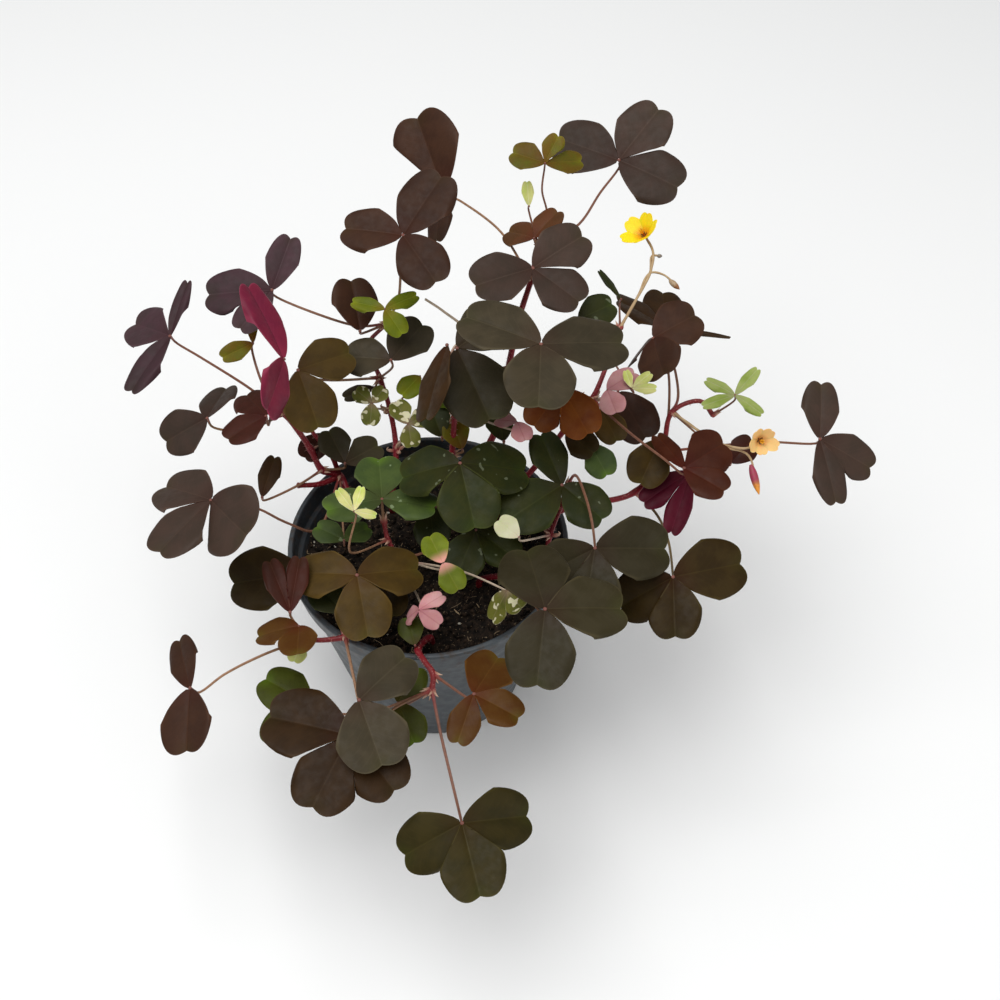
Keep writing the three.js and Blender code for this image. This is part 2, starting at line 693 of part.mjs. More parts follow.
/** A thin plate with a given upper outline: one closed solid of points, their up vectors and faces. */
function plateSolid(points, ups, faces, edge) {
  const count = points.length;
  const shift = (p, i, side) => p.clone().addScaledVector(ups[i], (side * BLADE_THICKNESS) / 2);
  const vertices = [...points.map((p, i) => shift(p, i, 1)), ...points.map((p, i) => shift(p, i, -1))];
  const triangles = [...faces, ...faces.map(([a, b, c]) => [a + count, c + count, b + count])];
  edge.forEach((a, k) => {
    const b = edge[(k + 1) % edge.length];
    triangles.push([a, a + count, b + count], [a, b + count, b]);
  });
  return toSolid(meshGeometry(vertices, triangles));
}

/** Keeps a blade's point on its own side of the upright plane that parts it from its neighbour. */
function keepToSector(point, corner, normal, up, side) {
  const apart = normal.clone().cross(corner).normalize().multiplyScalar(side);
  const spare = BLADE_GAP / 2 + (BLADE_THICKNESS / 2) * Math.abs(up.dot(apart));
  const short = spare - point.dot(apart);
  if (point.dot(corner) > 0 && short > 0) {
    point.addScaledVector(apart, short);
  }
}

/** All blades that meet at one hub, as one plate centred on it. */
function bladesSolid(arms, normal, shapes, plan) {
  const around = (arm) => {
    const start = arms[0].clone().addScaledVector(normal, -arms[0].dot(normal));
    const angle = Math.atan2(start.clone().cross(arm).dot(normal), start.dot(arm));
    return arm === arms[0] ? 0 : (angle + 2 * Math.PI) % (2 * Math.PI);
  };
  const order = arms.map((arm, i) => i).sort((i, j) => around(arms[i]) - around(arms[j]));
  const axes = order.map((i) => arms[i].clone().normalize());
  const points = hubCorners(axes, normal);
  const ups = points.map(() => normal);
  const corners = points.map((point, i) => i);
  const faces = corners.slice(2).map((corner) => [0, corner - 1, corner]);
  const edge = [];
  order.forEach((i, place) => {
    const { length, width, fold, droop, roll } = shapes[i];
    const matrix = leafletMatrix(arms[i], normal, roll);
    const up = new THREE.Vector3().setFromMatrixColumn(matrix, 2);
    const right = arms.length === 1 ? 0 : (place + arms.length - 1) % arms.length;
    const left = arms.length === 1 ? 1 : place;
    const limits = arms.length === 1 ? [] : [[corners[right], 1], [corners[left], -1]];
    const rows = plan.map(({ along, across }) => across.map((share) => {
      const point = leafletPoint(along, share, length, width, fold, droop).applyMatrix4(matrix);
      limits.forEach(([corner, side]) => keepToSector(point, points[corner], normal, up, side));
      points.push(point);
      ups.push(up);
      return points.length - 1;
    }));
    const all = [[right, left], ...rows];
    rows.forEach((row, k) => faces.push(...zipRows(all[k], row)));
    edge.push(right, ...rows.slice(0, -1).map((row) => row[0]), ...rows[rows.length - 1]);
    edge.push(...rows.slice(0, -1).reverse().map((row) => row[row.length - 1]));
    if (arms.length === 1) {
      edge.push(left);
    }
  });
  return plateSolid(points, ups, faces, edge);
}

/** All leaflets of a leaf as one plate, centred on the hub. */
function leafSolid(leaf, number, plan) {
  const { arms, normal } = solveLeaf(leaf);
  const broad = [leaf.broad ?? BLADE_WIDTH_RATIO].flat();
  const shapes = arms.map((arm, i) => ({
    length: arm.length(),
    width: arm.length() * broad[i % broad.length],
    fold: 0.1 + 0.14 * vary(number, i),
    droop: 0.04 + 0.08 * vary(number, i + 5),
    roll: leaf.roll ? leaf.roll[i] : 0,
  }));
  return bladesSolid(arms, normal, shapes, plan);
}

/** How many lengths a stem's tube is made of. */
function stemSteps(points) {
  return points.length + 3;
}

/** Points of a stem from the bottom of its hole in the soil to its tip. */
function stemPoints(stem) {
  const [x, y] = stem.root;
  const foot = SOIL_TOP - HOLE_DEPTH + CLEARANCE;
  return [
    new THREE.Vector3(x, y, foot),
    new THREE.Vector3(x, y, SOIL_TOP - 5),
    new THREE.Vector3(x, y, SOIL_TOP + 3.5),
    ...stem.path.map(placeAt),
  ];
}

/** The place on a stem's axis nearest to one of its path's points. */
function jointPlace([stemName, joint]) {
  const stem = STEMS[stemName];
  const points = stemPoints(stem);
  const wanted = placeAt(stem.path[joint]);
  const axis = new THREE.CatmullRomCurve3(points, false, 'centripetal').getSpacedPoints(stemSteps(points));
  const places = axis.slice(1).map((end, i) => (
    new THREE.Line3(axis[i], end).closestPointToPoint(wanted, true, new THREE.Vector3())
  ));
  return places.reduce((a, b) => (a.distanceTo(wanted) < b.distanceTo(wanted) ? a : b));
}

/** Points of a leaf stalk from the stem to a little way under the leaf's hub. */
function petiolePoints(leaf, gap) {
  const { hub, normal } = solveLeaf(leaf);
  return [
    jointPlace(leaf.on),
    ...leaf.via.map(placeAt),
    hub.clone().addScaledVector(normal, -4.5),
    hub.clone().addScaledVector(normal, -gap),
  ];
}

/** A flower's calyx and the direction that it faces. */
function solveFlower(flower) {
  const calyx = placeAt([...flower.calyx, flower.rise]);
  const front = placesAtLength(flower.front, calyx, flower.petal)[0];
  return { calyx, axis: front.sub(calyx).normalize() };
}

/** The petals of a flower as one plate round its axis, centred on the calyx. */
function flowerSolid(flower) {
  const { axis } = solveFlower(flower);
  const start = new THREE.Vector3(1, 0, 0).cross(axis).normalize();
  const arms = [];
  for (let i = 0; i < PETAL_COUNT; i += 1) {
    const side = start.clone().applyAxisAngle(axis, (2 * Math.PI * i) / PETAL_COUNT);
    arms.push(side.multiplyScalar(Math.sin(PETAL_OPENING) * flower.petal)
      .addScaledVector(axis, Math.cos(PETAL_OPENING) * flower.petal));
  }
  const shape = { length: flower.petal, width: flower.petal * 0.8, fold: 0.1, droop: -0.1, roll: 0 };
  return bladesSolid(arms, axis, arms.map(() => shape), SMALL_ROWS);
}

/** A stem with every leaf stalk that grows from it. */
function stemSolid(name) {
  const stem = STEMS[name];
  const points = stemPoints(stem);
  const solids = [taperedTube(points, stem.radius, stem.radius * 0.62, STEM_SIDES, stemSteps(points))];
  const grows = (item) => item.on[0] === name;
  for (const leaf of Object.values(LEAVES).filter(grows)) {
    const points = petiolePoints(leaf, BLADE_THICKNESS / 2 + CLEARANCE);
    solids.push(taperedTube(
      points, PETIOLE_RADIUS * 1.35, PETIOLE_RADIUS, PETIOLE_SIDES, PETIOLE_STEPS,
    ));
  }
  Object.values(YOUNG_LEAVES).filter(grows).forEach((leaf, number) => {
    const points = petiolePoints(leaf, 0);
    solids.push(taperedTube(points, PETIOLE_RADIUS * 1.2, PETIOLE_RADIUS, 4, PETIOLE_STEPS));
    const { hub } = solveLeaf(leaf);
    solids.push(leafSolid(leaf, number, SMALL_ROWS).translate(hub.toArray()));
  });
  for (const stalk of Object.values(STALKS).filter(grows)) {
    const points = [jointPlace(stalk.on), ...stalk.path.map(placeAt)];
    if (stalk.flower) {
      const { calyx, axis } = solveFlower(FLOWERS[stalk.flower]);
      points.push(calyx.clone().addScaledVector(axis, -STALK_STRAIGHT));
      points.push(calyx.addScaledVector(axis, -BLADE_THICKNESS / 2 - 1.6 * CLEARANCE));
    }
    solids.push(taperedTube(points, stalk.foot, stalk.tip, PETIOLE_SIDES, points.length + 1));
  }
  return joinAll(solids);
}

/** Inner radius of the pot at a height. */
function innerRadius(height) {
  const share = height / (POT_HEIGHT - RIM_BAND);
  return THREE.MathUtils.lerp(BASE_RADIUS, RIM_RADIUS - RIM_STEP, Math.min(share, 1)) - WALL;
}

/** The pot: a tapered wall, a stepped-out rim band with a rolled edge and drain holes. */
function potSolid() {
  const shoulder = POT_HEIGHT - RIM_BAND;
  const bandInner = RIM_RADIUS - WALL;
  const profile = [
    [0, 0], [BASE_RADIUS - 7, 0], [BASE_RADIUS - 6, 1.2], [BASE_RADIUS - 4, 1.2],
    [BASE_RADIUS - 3, 0], [BASE_RADIUS - 0.8, 0], [BASE_RADIUS, 0.8],
    [RIM_RADIUS - RIM_STEP, shoulder - 0.6], [RIM_RADIUS - 0.4, shoulder], [RIM_RADIUS, POT_HEIGHT - 2],
    [RIM_RADIUS + 0.9, POT_HEIGHT - 1.6], [RIM_RADIUS + 0.7, POT_HEIGHT], [bandInner, POT_HEIGHT],
    [bandInner - 0.4, shoulder + 1], [innerRadius(shoulder), shoulder + 0.6],
    [innerRadius(2.6), 2.6], [0, 2.6],
  ].map(([radius, height]) => new THREE.Vector2(radius, height));
  let pot = toSolid(new THREE.LatheGeometry(profile, POT_SIDES).rotateX(Math.PI / 2));
  for (let i = 0; i < DRAIN_COUNT; i += 1) {
    const angle = (2 * Math.PI * (i + 0.5)) / DRAIN_COUNT;
    const drain = new THREE.CylinderGeometry(DRAIN_RADIUS, DRAIN_RADIUS, 8, 12).rotateX(Math.PI / 2);
    drain.translate(DRAIN_CIRCLE * Math.cos(angle), DRAIN_CIRCLE * Math.sin(angle), 2);
    pot = pot.subtract(toSolid(drain));
  }
  return pot;
}

/** The soil: it fills the pot, is gently lumpy on top and has a plain hole for each stem. */
function soilSolid() {
  const floor = 2.6 + CLEARANCE;
  const rings = [0.45, 0.8].map((share) => {
    const lump = 0.7 * Math.sin(9 * share);
    return [share * (innerRadius(SOIL_TOP) - 0.8), SOIL_TOP + lump];
  });
  const profile = [
    [0, floor], [innerRadius(floor) - CLEARANCE, floor],
    [innerRadius(SOIL_TOP - 1.4) - CLEARANCE, SOIL_TOP - 1.4],
    ...rings.reverse(), [0, SOIL_TOP],
  ].map(([radius, height]) => new THREE.Vector2(radius, height));
  let soil = toSolid(new THREE.LatheGeometry(profile, 22).rotateX(Math.PI / 2));
  for (const stem of Object.values(STEMS)) {
    const radius = stem.radius + 2 * CLEARANCE;
    const hole = new THREE.CylinderGeometry(radius, radius, HOLE_DEPTH + 4, 7).rotateX(Math.PI / 2);
    hole.translate(stem.root[0], stem.root[1], SOIL_TOP - HOLE_DEPTH + (HOLE_DEPTH + 4) / 2);
    soil = soil.subtract(toSolid(hole));
  }
  return soil;
}

/** Adds a named mesh with its own material to the plant. */
function addMesh(parent, name, solid, tone, position = new THREE.Vector3()) {
  const material = new THREE.MeshStandardMaterial({ ...COLOURS[tone], metalness: 0 });
  const mesh = new THREE.Mesh(toGeometry(solid), material);
  mesh.name = name;
  mesh.position.copy(position);
  parent.add(mesh);
}

const plant = new THREE.Group();
addMesh(plant, 'pot', potSolid(), 'pot');
addMesh(plant, 'soil', soilSolid(), 'soil');
for (const name of Object.keys(STEMS)) {
  addMesh(plant, name, stemSolid(name), 'redStem');
}
Object.entries(LEAVES).forEach(([name, leaf], number) => {
  addMesh(plant, name, leafSolid(leaf, number, LARGE_ROWS), leaf.tone, solveLeaf(leaf).hub);
});
for (const [name, flower] of Object.entries(FLOWERS)) {
  addMesh(plant, name, flowerSolid(flower), flower.tone, solveFlower(flower).calyx);
}

export default plant;
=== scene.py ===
"""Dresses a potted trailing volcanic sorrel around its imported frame.

Metres, +Z up, the origin at the centre of the pot's underside and -Y towards the camera. Stems and
leaves are planned in millimetres from places on a 1000 pixel square picture, and one view model
turns those into places in the round.
"""

import logging  # noqa: E402
import math  # noqa: E402
import random  # noqa: E402
from collections.abc import Callable, Sequence  # noqa: E402
from dataclasses import dataclass  # noqa: E402
from enum import Enum  # noqa: E402

import bpy  # noqa: E402
import numpy as np  # noqa: E402
from mathutils import Matrix, Vector, noise  # noqa: E402
from mathutils.geometry import intersect_point_line  # noqa: E402

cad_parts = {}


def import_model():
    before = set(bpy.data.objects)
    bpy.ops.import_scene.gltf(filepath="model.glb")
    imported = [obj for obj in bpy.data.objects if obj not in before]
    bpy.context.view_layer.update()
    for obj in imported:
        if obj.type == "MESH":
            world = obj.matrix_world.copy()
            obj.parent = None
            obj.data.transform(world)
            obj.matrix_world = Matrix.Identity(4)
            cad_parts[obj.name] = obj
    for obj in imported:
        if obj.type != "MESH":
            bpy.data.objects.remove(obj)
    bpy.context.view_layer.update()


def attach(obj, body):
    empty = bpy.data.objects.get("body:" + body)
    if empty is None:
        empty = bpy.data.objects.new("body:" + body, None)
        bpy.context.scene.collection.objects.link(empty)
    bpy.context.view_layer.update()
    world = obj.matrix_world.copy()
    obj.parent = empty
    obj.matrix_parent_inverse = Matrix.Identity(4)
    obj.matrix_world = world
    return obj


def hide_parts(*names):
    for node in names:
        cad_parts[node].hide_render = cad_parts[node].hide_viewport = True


log = logging.getLogger("sorrel")

MM = 0.001
BODY = "root"

# Sizes of the pot and of the stems' holes in the soil, in millimetres
POT_HEIGHT = 85.0
RIM_RADIUS = 52.5
BASE_RADIUS = 37.0
WALL = 1.3
RIM_BAND = 9.0
RIM_STEP = 2.2
SOIL_TOP = 74.0
HOLE_DEPTH = 13.0
CLEARANCE = 0.3
ROOT_BELOW = 5.0
ROOT_ABOVE = 3.5

# A leaflet's shape: how far its two lobes pass its notch and its corners fall back, as shares of its
# length, and how soon it widens from the hub
LOBE_REACH = 0.066
CORNER_DROP = 0.44
SIDE_POWER = 0.62

# A leaflet that is seen longer than this share of its length faces the camera and gets a little slack
FACING_SHARE = 0.8
FACING_SLACK = 1.04

# How a leaf lies: leaflets droop a little and stand 120 degrees apart, under the light from the front
NATURAL_DROOP = 0.12
SPREAD_WEIGHT = 0.6
SPREAD_COSINE = -0.5
LONE_LEAFLET_SKY = (0.0, -0.5, 1.0)
LEVEL_PULL = 0.35

# The last of a leaf's stalk below its hub, in millimetres
STALK_APPROACH = 4.5
STALK_GAP = 0.25

VEIN_COUNT = 8.0
VEIN_SLANT = 0.42
FLESH_SCALE = 0.001
CHART = "leaflet"
HUB_MATERIAL = 2

PETAL_COUNT = 5
PETAL_OPENING = math.radians(58)

# How many lengths each kind of line is cut into
CURVE_STEPS = 12
AXIS_STEPS = 60
STEM_STEPS = 90
STALK_STEPS = 40
PETIOLE_STEPS = 28
SPENT_STEPS = 24

# Edges sharper than this many degrees stay crisp
THIN_CREASE = 50.0
POT_CREASE = 40.0
PEAT_CREASE = 60.0

# About one turn, in radians: for waves and turns that only vary the leaves, and for random draws
WAVE = 6.28
TURN = 6.283


class Tone(Enum):
    """The kinds of leaf and petal colour on the plant."""

    PLUM = "plum"
    PURPLE = "purple"
    BRONZE = "bronze"
    UMBER = "umber"
    BROWN = "brown"
    OLIVE_BROWN = "olive_brown"
    KHAKI = "khaki"
    GREY_GREEN = "grey_green"
    DARK_GREEN = "dark_green"
    MOSS = "moss"
    RUST = "rust"
    ORANGE = "orange"
    CHESTNUT = "chestnut"
    MAROON = "maroon"
    RED_BROWN = "red_brown"
    WINE = "wine"
    MAGENTA = "magenta"
    MID_GREEN = "mid_green"
    OLIVE_GREEN = "olive_green"
    OLIVE_LIME = "olive_lime"
    FRESH_GREEN = "fresh_green"
    LIME = "lime"
    PALE_LIME = "pale_lime"
    LIME_PINK = "lime_pink"
    PINK = "pink"
    CREAM = "cream"
    VARIEGATED = "variegated"
    YELLOW = "yellow"
    APRICOT = "apricot"


class Detail(Enum):
    """How finely a leaflet is divided: rows along it and columns across it."""

    LARGE = (17, 26)
    YOUNG = (11, 18)
    PETAL = (12, 18)


Piece = bpy.types.Object
Socket = bpy.types.NodeSocket
Material = bpy.types.Material
Pair = tuple[float, float]
Pixel = tuple[float, float]
Spot = tuple[float, float, float]


@dataclass(frozen=True)
class Stem:
    """A main stem: its root in the soil and its path as column, row and rise above the rim."""

    name: str
    root: Pair
    radius: float
    path: tuple[Spot, ...]


@dataclass(frozen=True)
class Leaf:
    """A leaf: where its stalk starts and passes, its hub, the leaflets' notches and their length."""

    name: str
    on: tuple[str, int]
    via: tuple[Spot, ...]
    hub: Pixel
    rise: float
    length: float
    tips: tuple[Pixel, ...]
    tone: Tone
    broad: tuple[float, ...] = (0.9,)
    roll: tuple[float, ...] = ()
    slot: str = ""


@dataclass(frozen=True)
class Stalk:
    """A side branch or a flower's, bud's or lost leaf's stalk, with the radii of its foot and tip."""

    name: str
    on: tuple[str, int]
    foot: float
    tip: float
    path: tuple[Spot, ...]
    flower: str = ""


@dataclass(frozen=True)
class Flower:
    """A flower: its calyx, the pixel that it faces and its petals' length."""

    name: str
    calyx: Pixel
    rise: float
    front: Pixel
    petal: float
    tone: Tone


# Paths hold column, row and rise above the rim in mm; roots are in mm; hubs and notches are pixels.
STEMS = (
    Stem("stem_back", (12, 26), 1.6,
        ((500, 420, 14), (508, 370, 40), (520, 315, 60), (531, 280, 68), (538, 245, 72))),
    Stem("stem_back_left", (-16, 24), 1.3,
        ((396, 450, 6), (390, 410, 17), (380, 378, 24), (368, 346, 31), (386, 324, 42))),
    Stem("stem_left", (-30, 14), 1.6,
        ((340, 476, 2), (322, 470, 7), (311, 450, 14), (299, 432, 21), (284, 414, 27), (272, 407, 29))),
    Stem("stem_centre", (0, 6), 1.4,
        ((448, 500, 8), (452, 455, 24), (455, 410, 38), (458, 365, 50), (461, 348, 55))),
    Stem("stem_upper_right", (26, 18), 1.4,
        ((545, 455, 12), (574, 418, 28), (592, 399, 38), (610, 356, 48), (620, 328, 56))),
    Stem("stem_right", (26, 4), 1.4,
        ((568, 508, 6), (635, 492, 9), (662, 452, 18), (672, 412, 30), (700, 401, 34), (713, 415, 34))),
    Stem("stem_right_middle", (20, -14), 1.3,
        ((540, 568, 2), (550, 535, 10), (560, 508, 16), (568, 484, 23))),
    Stem("stem_middle", (-8, -8), 1.3, ((400, 560, 2), (388, 540, 9), (384, 522, 14))),
    Stem("stem_front", (2, -40), 1.5, ((418, 650, 2), (425, 662, 4.5), (433, 674, 4.5), (432, 690, 2))),
    Stem("stem_front_left", (-26, -28), 1.4,
        ((362, 630, 3), (345, 637, 4.5), (325, 640, 4), (308, 640, 3))),
)

LEAVES = (
    Leaf("leaf_back_right", ("stem_back", 4), ((577, 226, 76), (600, 193, 83)), (619, 160), 88, 24,
        ((559, 137), (658, 108), (677, 184)), Tone.PLUM),
    Leaf("leaf_back_high", ("stem_back", 3), ((500, 231, 70), (462, 202, 70)), (443, 190), 68, 27,
        ((416, 118), (434, 236), (408, 204)), Tone.BRONZE, broad=(0.95, 0.4, 0.6), slot="leaf_plum"),
    Leaf("leaf_back_left", ("stem_back_left", 4), ((398, 300, 52), (401, 268, 66)), (403, 235), 84, 24,
        ((345, 226), (440, 175), (434, 278)), Tone.BRONZE, broad=(0.85, 0.85, 0.8)),
    Leaf("leaf_back_middle", ("stem_back", 3), (), (533, 268), 76, 22,
        ((476, 284), (582, 234), (579, 299)), Tone.PLUM, slot="leaf_bronze"),
    Leaf("leaf_back_small", ("stem_back", 4), (), (534, 238), 78, 14, ((508, 230), (556, 210)),
        Tone.ORANGE),
    Leaf("leaf_shoot_lime_back", ("stem_back", 4), ((547, 215, 78), (542, 190, 88)), (545, 163), 98, 12,
        ((513, 152), (558, 136), (581, 160)), Tone.OLIVE_LIME, broad=(0.9, 0.75, 0.7)),
    Leaf("leaf_upper_right", ("stem_right", 2), ((668, 420, 26), (668, 370, 42)), (653, 338), 50, 20,
        ((695, 314), (661, 371), (628, 361)), Tone.BRONZE, broad=(1.1, 0.9, 0.4), roll=(45, 0, 0)),
    Leaf("leaf_right_behind", ("stem_right", 3), ((678, 398, 31), (673, 362, 34)), (666, 328), 38, 20,
        ((622, 297), (664, 291), (727, 334)), Tone.BROWN, broad=(0.8, 0.9, 0.15), slot="leaf_plum"),
    Leaf("leaf_crown_rust", ("stem_upper_right", 2), (), (562, 389), 56, 16, ((534, 424), (588, 432)),
        Tone.CHESTNUT),
    Leaf("leaf_crown", ("stem_centre", 4), ((484, 368, 49), (522, 362, 62)), (541, 344), 80, 27,
        ((467, 315), (622, 340), (539, 403)), Tone.GREY_GREEN),
    Leaf("leaf_crown_left", ("stem_centre", 4), (), (457, 348), 62, 26, ((490, 418), (508, 312)),
        Tone.MOSS),
    Leaf("leaf_crown_edge", ("stem_centre", 3), ((448, 350, 58),), (447, 345), 66, 24, ((423, 416),),
        Tone.BROWN, broad=(0.75,), roll=(55,), slot="leaf_plum"),
    Leaf("leaf_back_left_dark", ("stem_back_left", 4), (), (360, 331), 48, 20, ((352, 280),),
        Tone.BRONZE, roll=(20,)),
    Leaf("leaf_shoot_lime_left", ("stem_back_left", 4), (), (385, 309), 60, 11,
        ((353, 301), (416, 294), (402, 333)), Tone.FRESH_GREEN, broad=(0.5, 0.5, 0.8)),
    Leaf("leaf_left_grey", ("stem_back_left", 2), (), (391, 360), 42, 21, ((347, 355), (422, 324)),
        Tone.GREY_GREEN, broad=(1,)),
    Leaf("leaf_left_far_upper", ("stem_back_left", 4), ((360, 326, 40), (320, 315, 50)), (272, 290), 60,
        23, ((290, 238), (208, 293), (240, 327)), Tone.PURPLE, broad=(0.6, 0.8, 0.65)),
    Leaf("leaf_left_magenta", ("stem_left", 4), ((287, 386, 42),), (284, 359), 64, 27,
        ((254, 284), (271, 409)), Tone.MAGENTA, broad=(0.5, 0.6), roll=(0, -32)),
    Leaf("leaf_left_far", ("stem_left", 5), ((252, 390, 37), (200, 357, 47)), (170, 336), 54, 24,
        ((184, 281), (133, 322), (129, 386)), Tone.PURPLE, broad=(0.3, 0.8, 0.45)),
    Leaf("leaf_left_small", ("stem_left", 5), ((258, 372, 38),), (253, 343), 46, 14,
        ((223, 357), (250, 302)), Tone.OLIVE_LIME, broad=(0.6, 0.35)),
    Leaf("leaf_left_middle", ("stem_left", 4), ((245, 430, 30),), (207, 418), 36, 19,
        ((225, 387), (165, 441)), Tone.PLUM, broad=(0.8, 1), roll=(0, -40)),
    Leaf("leaf_left_rust", ("stem_left", 5), (), (266, 416), 42, 17, ((228, 436), (246, 392)),
        Tone.MAROON),
    Leaf("leaf_left_olive", ("stem_back_left", 2), ((325, 380, 40),), (298, 370), 50, 21,
        ((349, 352), (319, 425)), Tone.KHAKI),
    Leaf("leaf_left_low", ("stem_left", 0), ((317, 530, 10), (285, 522, 26), (252, 507, 36)),
        (211, 500), 42, 24, ((164, 483), (158, 548), (242, 533)), Tone.PLUM, broad=(0.9, 0.85, 1.1),
        roll=(0, 0, 30)),
    Leaf("leaf_front_left_dark", ("stem_front_left", 1), ((325, 590, 6),), (304, 572), 10, 26,
        ((233, 583),), Tone.UMBER),
    Leaf("leaf_front_left_rust", ("stem_front_left", 3), (), (290, 612), 19, 18,
        ((270, 562), (299, 558)), Tone.MAROON, broad=(0.45,)),
    Leaf("leaf_front_left_small", ("stem_front_left", 3), (), (299, 626), 15, 15,
        ((258, 634), (297, 652)), Tone.RUST),
    Leaf("leaf_front_far_left", ("stem_front_left", 3), ((270, 652, 2), (225, 674, 2)), (190, 688), 4,
        23, ((178, 640), (185, 750)), Tone.BRONZE, broad=(0.5, 0.95), slot="leaf_plum"),
    Leaf("leaf_middle", ("stem_middle", 2), (), (382, 499), 24, 19,
        ((328, 507), (379, 458), (433, 503)), Tone.MID_GREEN, broad=(0.8, 1, 0.8)),
    Leaf("leaf_centre", ("stem_centre", 1), (), (460, 463), 38, 24,
        ((401, 474), (525, 468), (475, 526)), Tone.DARK_GREEN, broad=(0.95,)),
    Leaf("leaf_front_middle", ("stem_middle", 0), ((372, 578, 10),), (357, 575), 22, 22,
        ((298, 570), (418, 567), (368, 635)), Tone.KHAKI),
    Leaf("leaf_right_brown", ("stem_upper_right", 2), ((630, 433, 40), (664, 459, 36.5)), (684, 468),
        34, 20, ((724, 443), (724, 489), (657, 433)), Tone.RED_BROWN, broad=(1.05, 0.85, 0.4),
        roll=(26, 0, 0)),
    Leaf("leaf_right_purple", ("stem_right", 1), ((668, 478, 10),), (690, 472), 17, 19,
        ((645, 500), (672, 530)), Tone.WINE, broad=(0.55, 0.4)),
    Leaf("leaf_far_right", ("stem_right", 2), ((715, 446, 22), (765, 442, 28)), (820, 439), 32, 22,
        ((823, 383), (871, 467), (838, 499)), Tone.PLUM, broad=(0.65, 0.8, 0.5), slot="leaf_bronze"),
    Leaf("leaf_shoot_lime_right", ("stem_right", 5), (), (735, 395), 43, 12,
        ((757, 369), (707, 379), (704, 405), (761, 412)), Tone.LIME, broad=(0.4,)),
    Leaf("leaf_right_middle", ("stem_right_middle", 3),
        ((575, 475, 29), (586, 498, 31), (593, 528, 29)), (595, 548), 28, 24,
        ((666, 548), (545, 574), (584, 616)), Tone.MOSS),
    Leaf("leaf_right_inner", ("stem_right_middle", 2), ((549, 495, 20),), (562, 485), 27.9, 23,
        ((508, 518), (602, 517), (541, 434)), Tone.DARK_GREEN, broad=(0.9, 0.9, 0.65)),
    Leaf("leaf_front_right", ("stem_right_middle", 0), ((528, 590, 18),), (545, 609), 40, 27,
        ((527, 546), (622, 605), (537, 684)), Tone.MOSS, slot="leaf_grey_green"),
    Leaf("leaf_right_low", ("stem_right", 1), ((655, 512, -1), (668, 540, 6)), (673, 577), 20, 25,
        ((620, 606), (675, 635), (741, 563)), Tone.UMBER),
    Leaf("leaf_front_low", ("stem_front", 3), ((395, 708, 6),), (350, 735), 8, 27,
        ((270, 715), (312, 804), (394, 788)), Tone.BROWN),
    Leaf("leaf_front_grey", ("stem_front_left", 1), ((351, 665, 8),), (359, 700), 16, 22,
        ((405, 655), (382, 764)), Tone.GREY_GREEN, broad=(0.9, 1.05)),
    Leaf("leaf_front_rust", ("stem_front", 2), (), (474, 694), 7, 20,
        ((499, 655), (518, 716), (458, 741)), Tone.RUST, broad=(0.9, 0.8, 0.65)),
    Leaf("leaf_front_far", ("stem_front", 3), ((441, 735, 0), (454, 790, -4)), (462, 823), -6, 25,
        ((528, 815), (403, 855), (480, 895)), Tone.OLIVE_BROWN),
    Leaf("leaf_front_green", ("stem_front", 3), ((370, 712, -6),), (311, 706), -8, 18,
        ((266, 677), (271, 744)), Tone.OLIVE_GREEN),
    Leaf("leaf_front_olive", ("stem_front", 3), (), (398, 703), -5, 17, ((416, 667), (414, 742)),
        Tone.OLIVE_GREEN),
    Leaf("leaf_right_dark", ("stem_upper_right", 2), (), (618, 392), 30, 22, ((646, 436),),
        Tone.BRONZE),
    Leaf("leaf_right_olive", ("stem_right", 2), (), (660, 440), 27, 19, ((641, 482),), Tone.KHAKI),
)

